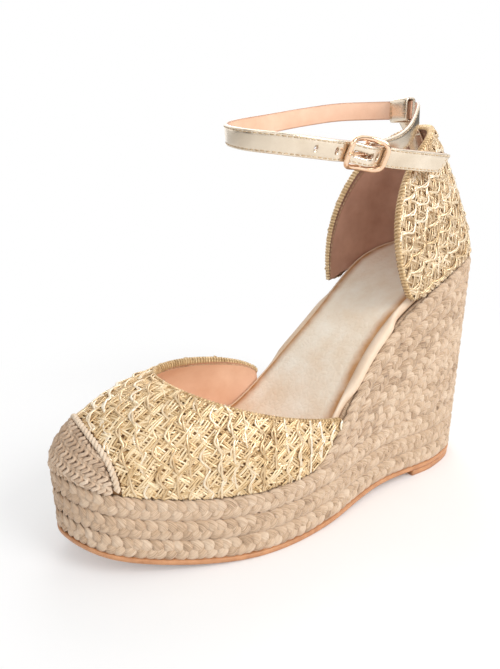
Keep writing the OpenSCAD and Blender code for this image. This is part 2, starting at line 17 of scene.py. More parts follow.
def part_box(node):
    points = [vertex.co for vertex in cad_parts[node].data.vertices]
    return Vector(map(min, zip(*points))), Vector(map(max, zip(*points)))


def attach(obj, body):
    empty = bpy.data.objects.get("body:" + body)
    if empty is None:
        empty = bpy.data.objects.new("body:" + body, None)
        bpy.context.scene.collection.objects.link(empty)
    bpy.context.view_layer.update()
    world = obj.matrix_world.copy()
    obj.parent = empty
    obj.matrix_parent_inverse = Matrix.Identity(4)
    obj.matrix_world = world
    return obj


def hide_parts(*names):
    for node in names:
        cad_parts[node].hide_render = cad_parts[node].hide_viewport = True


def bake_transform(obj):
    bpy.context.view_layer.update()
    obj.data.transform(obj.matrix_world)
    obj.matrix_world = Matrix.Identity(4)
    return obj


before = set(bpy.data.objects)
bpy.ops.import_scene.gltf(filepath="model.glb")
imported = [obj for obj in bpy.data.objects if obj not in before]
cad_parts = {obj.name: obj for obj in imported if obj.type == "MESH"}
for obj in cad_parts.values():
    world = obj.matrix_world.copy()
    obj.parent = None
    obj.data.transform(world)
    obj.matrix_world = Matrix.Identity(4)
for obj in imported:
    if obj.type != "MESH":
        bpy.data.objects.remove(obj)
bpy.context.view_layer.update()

METRES = 0.001
random = np.random.default_rng(11)

# ---------------------------------------------------------------- dimensions of the CAD part

TURNS = 16
HEEL_BACK = 36.0
HEEL_HEIGHT = 113.0
COURSE_HEIGHT = 9.2
LOWER_COURSES = 3
FAN_COURSES = 9
OUTSOLE_THICKNESS = 2.5
LIFT_THICKNESS = 3.0
TOE_SPRING = 13.0
BALL_Y = -118.0
ARCH_FRONT = -105.0
ARCH_LENGTH = 75.0
LIFT_FRONT = -22.0
HEEL_LEAN = 10.0
LEAN_FRONT = -30.0
LEAN_LENGTH = 50.0
FOOTBED_BREAK = -98.0
SEAT_PITCH = math.radians(9)
SEAT_HANDLE = 85.0
SEAT_GAP = 0.55
TOE_TIP = round(float(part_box("rope_course_3")[0].y) / METRES, 1)

OUTLINE = np.array([
    (0, 36), (25.2, 27.6), (35, 1), (36, -45), (46, -88), (47, -122), (36, -158), (21, TOE_TIP + 11),
    (-4, TOE_TIP), (-21.5, TOE_TIP + 11), (-38, -158), (-46, -122), (-36, -88), (-27, -45), (-35, 1),
    (-25.2, 27.6),
], float)


# ---------------------------------------------------------------- small maths

def smooth(t):
    t = np.clip(t, 0, 1)
    return t * t * (3 - 2 * t)


def mix(a, b, t):
    return a + (b - a) * t


def unit(v):
    return v / np.maximum(np.linalg.norm(v, axis=-1, keepdims=True), 1e-9)


def bezier(a, b, c, d, t):
    return (1 - t) ** 3 * a + 3 * (1 - t) ** 2 * t * b + 3 * (1 - t) * t * t * c + t ** 3 * d


def through(knots, place, ring=False):
    """Smooth curve through knots; knot k is at place k."""
    knots = np.asarray(knots, float)
    k = np.floor(place).astype(int)
    t = np.asarray(place - k, float)
    if knots.ndim > 1:
        t = t[..., None]
    count = len(knots)
    a, b, c, d = (knots[(k + i) % count if ring else np.clip(k + i, 0, count - 1)] for i in (-1, 0, 1, 2))
    square = 2 * a - 5 * b + 4 * c - d
    cube = 3 * b - a - 3 * c + d
    return 0.5 * (2 * b + (c - a) * t + square * t ** 2 + cube * t ** 3)


def point(x, y, z):
    return np.stack(np.broadcast_arrays(x, y, z), axis=-1).astype(float)


def lengths(path):
    """Distance along a path to each of its points."""
    steps = np.linalg.norm(np.diff(path, axis=0), axis=1)
    return np.concatenate([[0], np.cumsum(steps)])


def resample(s, distance, values):
    """Rows of values, given at distances along a path, read at other distances."""
    return np.stack([np.interp(s, distance, column) for column in values.T], axis=1)


# ---------------------------------------------------------------- outline and heights

def outline(turn):
    return through(OUTLINE, np.asarray(turn, float), ring=True)


def inset_point(turn, inset):
    """Point of the outline moved inward, as (x, y)."""
    turn = np.asarray(turn, float)
    d = unit(outline(turn + 0.03) - outline(turn - 0.03))
    out = np.stack([-d[..., 1], d[..., 0]], axis=-1)
    return outline(turn) - np.asarray(inset, float)[..., None] * out


def sole_bottom(y):
    toe = TOE_SPRING * np.maximum(0, (BALL_Y - y) / (BALL_Y - TOE_TIP)) ** 2
    return toe + LIFT_THICKNESS * smooth((y - ARCH_FRONT) / ARCH_LENGTH)


def sole_top(y):
    return sole_bottom(y) + OUTSOLE_THICKNESS


def platform_top(y):
    return sole_top(y) + LOWER_COURSES * COURSE_HEIGHT


SEAT_TABLE = np.array([
    bezier(np.array([FOOTBED_BREAK, platform_top(FOOTBED_BREAK)]),
           np.array([FOOTBED_BREAK + 20, platform_top(FOOTBED_BREAK)]),
           np.array([HEEL_BACK - SEAT_HANDLE * math.cos(SEAT_PITCH),
                     HEEL_HEIGHT - SEAT_HANDLE * math.sin(SEAT_PITCH)]),
           np.array([HEEL_BACK, HEEL_HEIGHT]), t)
    for t in np.linspace(0, 1, 60)
])


def footbed_edge(y):
    return np.maximum(platform_top(y), np.interp(y, SEAT_TABLE[:, 0], SEAT_TABLE[:, 1]))


def footbed_slope(y):
    return (footbed_edge(y + 1) - footbed_edge(y - 1)) / 2


FAN_HEIGHT = (HEEL_HEIGHT - platform_top(HEEL_BACK)) / FAN_COURSES


def fan_middle(y, course):
    """Height of the middle of a fan course, not cut off by the lower courses."""
    square = np.sqrt(1 + footbed_slope(y) ** 2) * math.cos(SEAT_PITCH)
    return footbed_edge(y) - (course - 0.5) * FAN_HEIGHT * square


def leaned(p, z):
    lean = HEEL_LEAN * (1 - z / HEEL_HEIGHT) * smooth((p[..., 1] - LEAN_FRONT) / LEAN_LENGTH)
    return point(p[..., 0], p[..., 1] - lean, z)


def wall_point(turn, inset, height):
    """Point of the sole's wall; height is a function of the place along the shoe."""
    p = inset_point(turn, inset)
    return leaned(p, height(p[..., 1]))


# ---------------------------------------------------------------- meshes

def build_mesh(name, points, faces, material, smooth_faces=True, values=None):
    """Mesh object from points in millimetres. Values are named numbers or vectors on the points."""
    mesh = bpy.data.meshes.new(name)
    mesh.from_pydata((np.asarray(points) * METRES).tolist(), [], [list(map(int, f)) for f in faces])
    mesh.polygons.foreach_set("use_smooth", [smooth_faces] * len(mesh.polygons))
    for key, data in (values or {}).items():
        data = np.asarray(data, np.float32)
        vector = data.ndim > 1
        attribute = mesh.attributes.new(key, "FLOAT_VECTOR" if vector else "FLOAT", "POINT")
        attribute.data.foreach_set("vector" if vector else "value", data.ravel())
    mesh.materials.append(material)
    mesh.update()
    piece = bpy.data.objects.new(name, mesh)
    bpy.context.scene.collection.objects.link(piece)
    return piece


def grid_faces(rows, columns, start=0, close_rows=False, close_columns=False):
    """Quads between the points of a grid, row by row."""
    i, j = np.meshgrid(np.arange(rows if close_rows else rows - 1),
                       np.arange(columns if close_columns else columns - 1), indexing="ij")
    i, j = i.ravel(), j.ravel()
    below, right = (i + 1) % rows, (j + 1) % columns
    return start + np.stack([i * columns + j, i * columns + right,
                             below * columns + right, below * columns + j], axis=1)


def rib_loft(name, sections, material, ring=False, values=None):
    """Closed solid through sections of equal length, with flat ends."""
    sections = np.asarray(sections)
    rows, columns = sections.shape[:2]
    faces = list(grid_faces(rows, columns, close_rows=ring, close_columns=True))
    if not ring:
        faces += [list(range(columns))[::-1], list(range((rows - 1) * columns, rows * columns))]
    piece = build_mesh(name, sections.reshape(-1, 3), faces, material, values=values)
    turn_outward(piece)
    return piece


def turn_outward(piece, weld=0.0):
    """Makes the faces of a closed mesh look outward, after joining points closer than the weld distance."""
    shell = bmesh.new()
    shell.from_mesh(piece.data)
    if weld:
        bmesh.ops.remove_doubles(shell, verts=shell.verts, dist=weld)
        bmesh.ops.dissolve_degenerate(shell, edges=shell.edges, dist=weld)
    bmesh.ops.recalc_face_normals(shell, faces=shell.faces)
    shell.to_mesh(piece.data)
    shell.free()


PATTERN_SHIFT = 500      # largest random shift of the fibre pattern along a strand
SHIFT_ACROSS = 0.02      # share of that shift across the strand


class Strands:
    """Collects yarns and ribbons, each swept along a path, into one mesh."""

    def __init__(self):
        self.points, self.faces, self.yarn, self.tone, self.count = [], [], [], [], 0

    def add(self, path, normals, half_width, half_thickness, sides=8, ply=0, ply_depth=0.0, ply_turns=0.0,
            ring=False, tone=None):
        """Sweeps an oval section. The yarn value holds the distance along and the place in the section."""
        path = np.asarray(path, float)
        rows = len(path)
        if rows < 3:
            return
        if ring:
            along = np.roll(path, -1, axis=0) - np.roll(path, 1, axis=0)
        else:
            along = np.gradient(path, axis=0)
        along = unit(along)
        normals = unit(normals - np.sum(normals * along, axis=1, keepdims=True) * along)
        side = np.cross(along, normals)
        distance = lengths(path)
        angle = np.linspace(0, 2 * math.pi, sides, endpoint=False)
        twist = ply_turns * distance[:, None]
        swell = 1 + ply_depth * np.cos(ply * angle[None, :] + twist)
        width = np.broadcast_to(half_width, rows)[:, None] * np.cos(angle) * swell
        depth = np.broadcast_to(half_thickness, rows)[:, None] * np.sin(angle) * swell
        sideways = width[..., None] * side[:, None, :]
        outward = depth[..., None] * normals[:, None, :]
        section_points = path[:, None, :] + sideways + outward
        place = np.stack([np.broadcast_to(distance[:, None], width.shape), width, depth], axis=-1)
        place = place + random.uniform(0, PATTERN_SHIFT, 3) * (1, SHIFT_ACROSS, SHIFT_ACROSS)
        tone = random.uniform(0, 1) if tone is None else tone
        self.points.append(section_points.reshape(-1, 3))
        self.yarn.append(place.reshape(-1, 3))
        self.tone.append(np.full(rows * sides, tone))
        self.faces.append((rows, sides, self.count, ring))
        self.count += rows * sides

    def add_sections(self, sections, ring):
        """Adds a plain solid through sections of equal length, in the darkest tone, as painted shade."""
        rows, sides = sections.shape[:2]
        self.points.append(sections.reshape(-1, 3))
        self.yarn.append(sections.reshape(-1, 3))
        self.tone.append(np.zeros(rows * sides))
        self.faces.append((rows, sides, self.count, ring))
        self.count += rows * sides

    def build(self, name, material):
        faces = []
        for rows, sides, start, ring in self.faces:
            faces.extend(grid_faces(rows, sides, start, close_rows=ring, close_columns=True).tolist())
            if not ring:
                faces.append(list(range(start + sides - 1, start - 1, -1)))
                faces.append(list(range(start + (rows - 1) * sides, start + rows * sides)))
        values = {"yarn": np.concatenate(self.yarn), "tone": np.concatenate(self.tone)}
        return build_mesh(name, np.concatenate(self.points), faces, material, values=values)


# ---------------------------------------------------------------- materials

class Nodes:
    """Short way to write the node tree of a material or of the world."""

    def __init__(self, owner):
        self.owner = owner
        owner.use_nodes = True
        self.tree = owner.node_tree
        self.surface = self.tree.nodes.get("Principled BSDF") or self.tree.nodes["Background"]

    def add(self, kind, settings=None, **inputs):
        made = self.tree.nodes.new(kind)
        for key, value in (settings or {}).items():
            setattr(made, key, value)
        for key, value in inputs.items():
            self.put(made, key.replace("_", " "), value)
        return made

    def put(self, target, key, value):
        socket = target.inputs[int(key)] if key.isdigit() else target.inputs[key]
        if isinstance(value, bpy.types.NodeSocket):
            self.tree.links.new(value, socket)
        elif isinstance(value, tuple) and socket.type == "RGBA":
            socket.default_value = (*value, 1)
        else:
            socket.default_value = value

    def attribute(self, name, output="Vector"):
        return self.add("ShaderNodeAttribute", {"attribute_name": name}).outputs[output]

    def place(self):
        return self.add("ShaderNodeTexCoord").outputs["Object"]

    def stretched(self, vector, scale):
        return self.add("ShaderNodeMapping", Vector=vector, Scale=scale).outputs["Vector"]

    def noise(self, vector, scale, detail=3.0, rough=0.5, warp=0.0):
        return self.add("ShaderNodeTexNoise", Vector=vector, Scale=scale, Detail=detail, Roughness=rough,
                        Distortion=warp).outputs["Fac"]

    def math(self, operation, a, b):
        return self.add("ShaderNodeMath", {"operation": operation}, **{"0": a, "1": b}).outputs[0]

    def plus(self, a, b):
        return self.math("ADD", a, b)

    def times(self, a, b):
        return self.math("MULTIPLY", a, b)

    def ramp(self, factor, stops):
        made = self.add("ShaderNodeValToRGB", Fac=factor)
        elements = made.color_ramp.elements
        while len(elements) < len(stops):
            elements.new(0.5)
        for element, (position, colour) in zip(elements, stops):
            element.position = position
            element.color = (*colour, 1)
        return made.outputs["Color"]

    def blend(self, factor, a, b):
        """Colour a where the factor is 0, and b where it is 1."""
        return self.add("ShaderNodeMix", {"data_type": "RGBA"}, **{"0": factor, "6": a, "7": b}).outputs[2]

    def choose(self, factor, a, b):
        """Number a where the factor is 0, and b where it is 1."""
        return self.add("ShaderNodeMix", **{"0": factor, "2": a, "3": b}).outputs[0]

    def bump(self, height, strength, distance):
        made = self.add("ShaderNodeBump", Height=height, Strength=strength, Distance=distance * METRES)
        self.tree.links.new(made.outputs["Normal"], self.surface.inputs["Normal"])

    def finish(self, **inputs):
        for key, value in inputs.items():
            self.put(self.surface, key.replace("_", " "), value)
        return self.owner


def linear(screen):
    """Colour from 0 to 255 screen values."""
    shares = [value / 255 for value in screen]
    return tuple(share / 12.92 if share <= 0.04 else ((share + 0.055) / 1.055) ** 2.4 for share in shares)


def fibre_material(name, dark, middle, light, rough, fibre_bump, metal=0.0, sheen=0.0, fibres=2.2,
                   variety=0.2):
    """Yarn or straw: fine fibres along the strand, with every strand a little different."""
    n = Nodes(bpy.data.materials.new(name))
    along = n.stretched(n.attribute("yarn"), (0.12, fibres, fibres))
    fibre = n.noise(along, scale=1.0, detail=4.0, rough=0.6, warp=0.3)
    patch = n.noise(n.place(), scale=90.0)
    tone = n.attribute("tone", "Fac")
    tone_shift = n.times(n.math("SUBTRACT", tone, 0.5), variety)
    shade = n.plus(n.times(fibre, 0.62), n.plus(tone_shift, 0.1))
    shade = n.plus(shade, n.times(patch, 0.22))
    colour = n.ramp(shade, [(0.3, linear(dark)), (0.5, linear(middle)), (0.74, linear(light))])
    gloss = n.plus(n.times(fibre, -0.25), rough + 0.12)
    n.bump(fibre, 0.6, fibre_bump)
    return n.finish(Base_Color=colour, Roughness=gloss, Metallic=metal, Sheen_Weight=sheen,
                    Sheen_Roughness=0.5)


def leather_material(name, dark, light, rough, grain, grain_bump, metal=0.0, coat=0.0, edge=None,
                     wrinkle=0.0):
    """Leather: fine grain, faint mottling, and painted shade: a darker edge where the points carry an edge
    value.
    """
    n = Nodes(bpy.data.materials.new(name))
    place = n.place()
    cells = n.add("ShaderNodeTexVoronoi", {"feature": "DISTANCE_TO_EDGE"}, Vector=place, Scale=grain)
    grain_height = n.ramp(cells.outputs["Distance"], [(0.0, (0, 0, 0)), (0.25, (1, 1, 1))])
    mottle = n.noise(place, scale=60.0, detail=5.0, rough=0.6)
    colour = n.ramp(mottle, [(0.3, linear(dark)), (0.7, linear(light))])
    if edge:
        # Painted shade: the edge colour darkens rims and seams, broken up by noise.
        edge_shade = n.plus(0.55, n.noise(place, scale=160.0, detail=4.0))
        colour = n.blend(n.times(n.attribute("edge", "Fac"), edge_shade), colour, linear(edge))
    fine = n.noise(place, scale=grain * 2.5)
    height = n.plus(n.times(grain_height, 0.5), n.times(fine, 0.6))
    if wrinkle:
        fold = n.noise(place, scale=190.0, detail=2.0, warp=0.6)
        height = n.plus(height, n.times(fold, wrinkle / grain_bump))
    n.bump(height, 0.5, grain_bump)
    gloss = n.plus(n.times(mottle, 0.16), rough - 0.08)
    return n.finish(Base_Color=colour, Roughness=gloss, Metallic=metal, Coat_Weight=coat,
                    Coat_Roughness=0.3)


def solid_material(name, dark, light, rough, scale, bump, metal=0.0):
    """Rubber, cork, board or metal: soft colour change and a fine rough skin."""
    n = Nodes(bpy.data.materials.new(name))
    place = n.place()
    patch = n.noise(place, scale=scale, detail=5.0, rough=0.6)
    fine = n.noise(place, scale=scale * 7, detail=2.0)
    colour = n.ramp(patch, [(0.3, linear(dark)), (0.7, linear(light))])
    n.bump(n.plus(n.times(patch, 0.4), n.times(fine, 0.6)), 0.4, bump)
    gloss = n.plus(n.times(patch, 0.2), rough - 0.1)
    return n.finish(Base_Color=colour, Roughness=gloss, Metallic=metal)


# Yarn and straw: dark, middle and light colour.
JUTE = fibre_material("jute", (104, 76, 52), (204, 173, 142), (240, 220, 196), rough=0.85, fibre_bump=1.0,
                      sheen=0.2, fibres=3.4, variety=0.12)
CROCHET = fibre_material("jute_crochet", (150, 120, 94), (206, 178, 150), (232, 210, 186), rough=0.85,
                         fibre_bump=0.3, sheen=0.2)
CORD = fibre_material("jute_cord", (170, 142, 114), (214, 190, 162), (234, 216, 194), rough=0.8,
                      fibre_bump=0.3, sheen=0.2)
STRAW = fibre_material("raffia", (164, 128, 82), (226, 196, 150), (251, 232, 198), rough=0.34,
                       fibre_bump=0.12, metal=0.42, fibres=1.6, variety=0.3)
# Painted highlight: a lighter copy of the straw, for the raised arcs.
STRAW_PAINTED_HIGHLIGHT = fibre_material("raffia_painted_highlight", (196, 162, 116), (232, 208, 172), (250, 240, 222), rough=0.28,
                              fibre_bump=0.1, metal=0.5, fibres=1.6, variety=0.3)
# Painted shade: a darker copy of the straw for the counter; its higher metal and gloss are real.
STRAW_SHINY_SHADED = fibre_material("raffia_shiny_shaded", (150, 116, 78), (208, 180, 142), (246, 226, 196), rough=0.3,
                             fibre_bump=0.12, metal=0.5, fibres=1.6, variety=0.35)
# Painted shade: a dark straw base that darkens the gaps between the woven straws.
STRAW_SHADE_BASE = fibre_material("raffia_shade_base", (112, 76, 42), (168, 124, 78), (200, 160, 108), rough=0.6,
                            fibre_bump=0.2, fibres=1.2)
THREAD = fibre_material("thread", (150, 122, 92), (196, 168, 132), (226, 204, 172), rough=0.6,
                        fibre_bump=0.05)

# Leather: dark and light colour, and for some the colour of the painted shade along their edges.
GOLD_LEATHER = leather_material("gold_leather", (214, 197, 174), (238, 224, 204), rough=0.25, grain=900,
                                grain_bump=0.06, metal=0.97, coat=0.2, wrinkle=0.1)
PINK_LINING = leather_material("pink_lining", (232, 184, 152), (246, 206, 178), rough=0.5, grain=700,
                               grain_bump=0.05, edge=(176, 124, 94))
# Painted shade: a darker copy of the pink lining, for the lining inside the counter.
SHADED_PINK_LINING = leather_material("counter_lining", (180, 138, 118), (206, 163, 141), rough=0.5, grain=700,
                                grain_bump=0.05, edge=(120, 82, 62))
SOCK = leather_material("sock_leather", (242, 222, 196), (255, 246, 230), rough=0.6, grain=330,
                        grain_bump=0.35, edge=(190, 138, 88))
RAND = leather_material("rand_leather", (220, 194, 166), (234, 212, 188), rough=0.55, grain=800,
                        grain_bump=0.06, edge=(212, 176, 140))

# Everything else: dark and light colour.
RUBBER = solid_material("sole_rubber", (180, 124, 84), (208, 152, 108), rough=0.42, scale=220, bump=0.08)
CORK = solid_material("cork", (120, 86, 52), (176, 134, 88), rough=0.9, scale=380, bump=0.4)
BOARD = solid_material("fibre_board", (120, 92, 66), (150, 120, 90), rough=0.8, scale=300, bump=0.2)
FOAM = solid_material("foam", (210, 200, 180), (232, 224, 206), rough=0.9, scale=500, bump=0.2)
STIFFENER = solid_material("stiffener", (190, 186, 176), (214, 210, 200), rough=0.7, scale=300, bump=0.1)
ROSE_GOLD = solid_material("rose_gold", (240, 200, 166), (250, 216, 186), rough=0.2, scale=700, bump=0.02,
                           metal=1.0)

NODE_MATERIALS = {
    "outsole": RUBBER, "heel_lift": RUBBER, "wedge_core": CORK, "insole_board": BOARD, "footbed_foam": FOAM,
    "toe_puff": STIFFENER, "counter_stiffener": STIFFENER,
}


def describe_piece(nodes):
    """Hides the CAD nodes that a piece stands for."""
    if nodes:
        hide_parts(*nodes)


def finish_piece(piece, body, slot, *nodes):
    """Puts a piece on one body."""
    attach(piece, body)
    describe_piece(nodes)


def finish_bending(piece, bodies, start, end, slot, *nodes):
    """Bakes a piece's transform in place and hides its CAD nodes; the piece does not bend, and the bodies,
    start and end are not used.
    """
    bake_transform(piece)
    describe_piece(nodes)


# ---------------------------------------------------------------- rope wall

PLAIT_PITCH = 12.6       # length in which a strand crosses over and back
PLAIT_STEPS = 16         # points on a strand in one pitch
PLAIT_STRANDS = 3
STRAND_WIDTH = 2.42      # half width of a strand
STRAND_THICKNESS = 0.85  # half thickness of a strand
STRAND_INSET = 1.9       # from the rope's face to the plait's middle
STRAND_DIVE = 0.68       # how far a strand sinks where it passes under another
WOBBLE_PITCHES = 3.7     # pitches in which the plait's rhythm drifts once
WOBBLE_STEP = 2.1        # shift of that drift from strand to strand
BACKING_INSET = 3.4      # from the rope's face to the front of the cloth behind the plaits
BACKING_BACK = 5.6       # from the rope's face to the back of that cloth
COURSE_POINTS = 900      # points on the line of a course
FAN_END = 5.2            # turn on either side of the heel where the fan courses end
FAN_OVERLAP = 4.2        # how far a fan course runs on behind the lower courses
TUCK_INSET = 3.4


def wall_plane(turns, middle):
    """Path of a course in the unrolled wall: distance round the outline, and height."""
    base = inset_point(turns, np.full(len(turns), STRAND_INSET))
    return np.stack([lengths(base), middle(base[:, 1])], axis=1)


def plait(turns, middle, half_height, ring, tuck):
    """Three strands that cross each other along a course, with the layout of the course."""
    strands = Strands()
    plane = wall_plane(turns, middle)
    distance = lengths(plane)
    total = distance[-1]
    pitches = max(1, round(total / PLAIT_PITCH))
    s = np.linspace(0, total, pitches * PLAIT_STEPS, endpoint=not ring)
    centre = resample(s, distance, plane)
    along = unit(np.gradient(centre, axis=0))
    across = np.stack([-along[:, 1], along[:, 0]], axis=1)
    if across[len(across) // 2, 1] < 0:
        across = -across
    swing = half_height - STRAND_WIDTH * 0.8
    drifts = pitches / WOBBLE_PITCHES
    wobble_size = 0.35
    if ring:
        drifts = np.round(drifts)
        wobble_size = 0.3
    phase_start = random.uniform(0, 2 * math.pi)
    for strand in range(PLAIT_STRANDS):
        wobble = wobble_size * np.sin(2 * math.pi * drifts * s / total + strand * WOBBLE_STEP)
        phase = 2 * math.pi * (pitches * s / total + strand / PLAIT_STRANDS) + phase_start + wobble
        depth = -STRAND_DIVE * np.sin(2 * phase)
        flat = centre + (swing * np.sin(phase))[:, None] * across
        turn = np.interp(flat[:, 0], plane[:, 0], turns)
        inset = STRAND_INSET - depth + tuck(turn, flat[:, 1])
        path = leaned(inset_point(turn, inset), flat[:, 1])
        outer = leaned(inset_point(turn, inset - 1), flat[:, 1])
        width = STRAND_WIDTH * (1 + 0.06 * np.sin(phase * 0.37 + strand))
        strands.add(path, outer - path, width, STRAND_THICKNESS, sides=12, ply=4, ply_depth=0.07,
                    ply_turns=0.9, ring=ring)
    return strands, centre, across, plane


def add_backing(strands, turns, centre, across, plane, half_height, ring, tuck):
    """Flat dark band behind a plait, so that the gaps between strands look into jute; its dark tone is
    painted shade in the gaps.
    """
    step = slice(None, None, 4)
    corners = []
    for side, inset in ((-1, BACKING_INSET), (1, BACKING_INSET), (1, BACKING_BACK), (-1, BACKING_BACK)):
        flat = centre[step] + side * (half_height - 0.15) * across[step]
        turn = np.interp(flat[:, 0], plane[:, 0], turns)
        corners.append(leaned(inset_point(turn, inset + tuck(turn, flat[:, 1])), flat[:, 1]))
    strands.add_sections(np.stack(corners, axis=1), ring)


def no_tuck(turn, height):
    return np.zeros(np.shape(turn))


def tuck_behind_platform(turn, height):
    """Takes the end of a fan course inward, behind the lower courses."""
    over = height - platform_top(outline(turn)[:, 1])
    return TUCK_INSET * smooth((1.2 - over) / 4)


def build_course(name, turns, middle, half_height, ring, tuck):
    """One plaited course with the cloth behind it."""
    rope, *layout = plait(turns, middle, half_height, ring, tuck)
    add_backing(rope, turns, *layout, half_height, ring, tuck)
    finish_piece(rope.build(f"{name}_plait", JUTE), "shoe", "jute", name)


ring_turns = np.linspace(TURNS, 0, COURSE_POINTS)
for course in range(1, LOWER_COURSES + 1):
    half = COURSE_HEIGHT / 2 - 0.05
    middle = lambda y: sole_top(y) + (course - 0.5) * COURSE_HEIGHT
    build_course(f"rope_course_{course}", ring_turns, middle, half, True, no_tuck)

fan_turns = np.linspace(FAN_END, -FAN_END, COURSE_POINTS)
fan_spots = outline(fan_turns)[:, 1]
for course in range(1, FAN_COURSES + 1):
    half = FAN_HEIGHT * math.cos(SEAT_PITCH) / 2 - 0.02
    middle = lambda y: fan_middle(y, course)
    kept = middle(fan_spots) > platform_top(fan_spots) - FAN_OVERLAP
    build_course(f"fan_course_{course}", fan_turns[kept], middle, half, False, tuck_behind_platform)


# ---------------------------------------------------------------- sole and footbed

SOLE_STATIONS = 288      # sections round the outline
PLATE_STATIONS = 150     # rows along a plate
PLATE_COLUMNS = 28       # points across a plate
PLATE_EDGE = 7.2         # width of the rim of a plate that carries the edge value
WELD_DISTANCE = 0.00002  # metres
SOCK_TOP = 5.0           # above the footbed's edge
SOCK_BOTTOM = 3.3


def outline_loft(name, corners, material, values=None):
    """Ring round the outline; corners are pairs of inset and height functions."""
    turns = np.linspace(0, TURNS, SOLE_STATIONS, endpoint=False)
    rows = []
    for inset, height in corners:
        insets = inset(turns) if callable(inset) else np.full(len(turns), inset)
        rows.append(wall_point(turns, insets, height))
    return rib_loft(name, np.stack(rows, axis=1), material, ring=True, values=values)


def lens_plate(name, inset, low, high, material, front=None):
    """Slab that fills the outline, drawn across from the outer side to the inner side."""
    turns = np.linspace(TURNS / 2, 0, PLATE_STATIONS)
    insets = np.full(PLATE_STATIONS, inset)
    outer, inner = inset_point(turns, insets), inset_point(TURNS - turns, insets)
    if front is not None:
        kept = outer[:, 1] > front
        outer, inner = outer[kept], inner[kept]
    rows, columns = len(outer), PLATE_COLUMNS
    share = (1 - np.cos(np.linspace(0, math.pi, columns))) / 2
    flat = mix(outer[:, None, :], inner[:, None, :], share[None, :, None])
    rim = np.minimum(share, 1 - share)[None, :] * np.linalg.norm(outer - inner, axis=1)[:, None]
    # Edge value, for painted shade along the rim where the material has an edge colour, as the sock's has.
    edge = 1 - smooth(rim / PLATE_EDGE)
    x, y = flat[..., 0], flat[..., 1]
    points = [leaned(flat, height(x, y, rim)).reshape(-1, 3) for height in (high, low)]
    size = rows * columns
    faces = grid_faces(rows, columns)[:, ::-1].tolist() + grid_faces(rows, columns, size).tolist()
    border = list(range(columns)) + [i * columns + columns - 1 for i in range(1, rows)]
    border += [size - 1 - j for j in range(1, columns)] + [i * columns for i in range(rows - 2, 0, -1)]
    for a, b in zip(border, border[1:] + border[:1]):
        faces.append([a, b, b + size, a + size])
    values = {"edge": np.tile(edge.ravel(), 2)}
    piece = build_mesh(name, np.concatenate(points), faces, material, values=values)
    turn_outward(piece, WELD_DISTANCE)
    return piece


def mound(x, y, centre, length, half_width):
    """Soft hill at a place along the shoe, 1 at its top and 0 at the sides."""
    return np.exp(-((y - centre) / length) ** 2) * np.clip(1 - (x / half_width) ** 2, 0, 1)


def sock_height(x, y, rim):
    """Top of the padded sock: dished under the heel, crowned at the waist, rolled down at its rim."""
    heel = mound(x, y, 4, 24, 26)
    toes = mound(x, y, -128, 26, 38)
    waist = mound(x, y, -62, 26, 30)
    roll = 0.5 * np.exp(-rim / 1.2)
    crease = 0.1 * np.sin(y / 3.1 + x / 9) * np.exp(-((y + 92) / 9) ** 2)
    return footbed_edge(y) + SOCK_TOP - 0.8 * heel - 0.6 * toes + 0.6 * waist - roll + crease


def sock_underside(x, y, rim):
    return footbed_edge(y) + SOCK_BOTTOM


def rand_outer(turns):
    y = inset_point(turns, np.full(len(turns), 2.0))[:, 1]
    return mix(5.4, 2.0, smooth((y + 70) / 9) * smooth((-30 - y) / 9))


def over_edge(rise):
    return lambda y: footbed_edge(y) + rise


def over_bottom(rise):
    return lambda y: sole_bottom(y) + rise


def over_top(rise):
    return lambda y: sole_top(y) + rise


def tread_height(x, y, rim):
    """Underside of the outsole, with fine cross ribs."""
    ribs = np.sin(y * 1.05) > 0.6
    return sole_bottom(y) + 0.05 + 0.25 * ribs


def lift_height(x, y, rim):
    """Underside of the heel lift, rounded at its rim."""
    return 0.2 * np.exp(-rim / 0.5) + 0 * y


outsole_corners = [
    (1.2, over_bottom(0)), (0.6, over_bottom(0.4)), (0.45, over_bottom(1.3)), (0.5, over_top(-0.25)),
    (0.9, over_top(-0.05)), (6.0, over_top(-0.05)), (6.0, over_bottom(0)),
]
finish_piece(outline_loft("outsole_edge", outsole_corners, RUBBER), "shoe", "sole_rubber")
tread = lens_plate("outsole_tread", 5.0, tread_height, lambda x, y, rim: sole_top(y) - 0.1, RUBBER)
finish_piece(tread, "shoe", "sole_rubber", "outsole")
lift = lens_plate("heel_lift_block", 0.8, lift_height, lambda x, y, rim: sole_bottom(y) - 0.06, RUBBER,
                  front=LIFT_FRONT)
finish_piece(lift, "shoe", "sole_rubber", "heel_lift")

sock = lens_plate("sock_leather_sheet", 6.6, sock_height, sock_underside, SOCK)
finish_piece(sock, "shoe", "sock_leather", "sock_lining")

# Corners of the rand as (share of the way inward, rise over the footbed's edge, darkness of the edge); the
# darkness is painted shade, low down by the rope and by the sock.
RAND_PROFILE = [
    (0.0, 0.3, 0.9), (-0.15, 1.6, 0.4), (0.0, 3.0, 0.1), (0.1, 4.1, 0), (0.28, 4.9, 0), (0.5, 5.25, 0),
    (0.75, 5.2, 0.1), (0.93, 4.9, 0.6), (1.0, 4.2, 1), (1.0, 0.3, 1),
]
RAND_INNER = 7.1
rand_corners = [
    (lambda turns, share=share: mix(rand_outer(turns), RAND_INNER, share), over_edge(rise))
    for share, rise, _ in RAND_PROFILE
]
rand_edge_shade = np.tile([darkness for _, _, darkness in RAND_PROFILE], SOLE_STATIONS)
rand = outline_loft("insole_rand_strip", rand_corners, RAND, values={"edge": rand_edge_shade})
finish_piece(rand, "shoe", "sock_leather", "insole_rand")


# ---------------------------------------------------------------- surfaces of the uppers

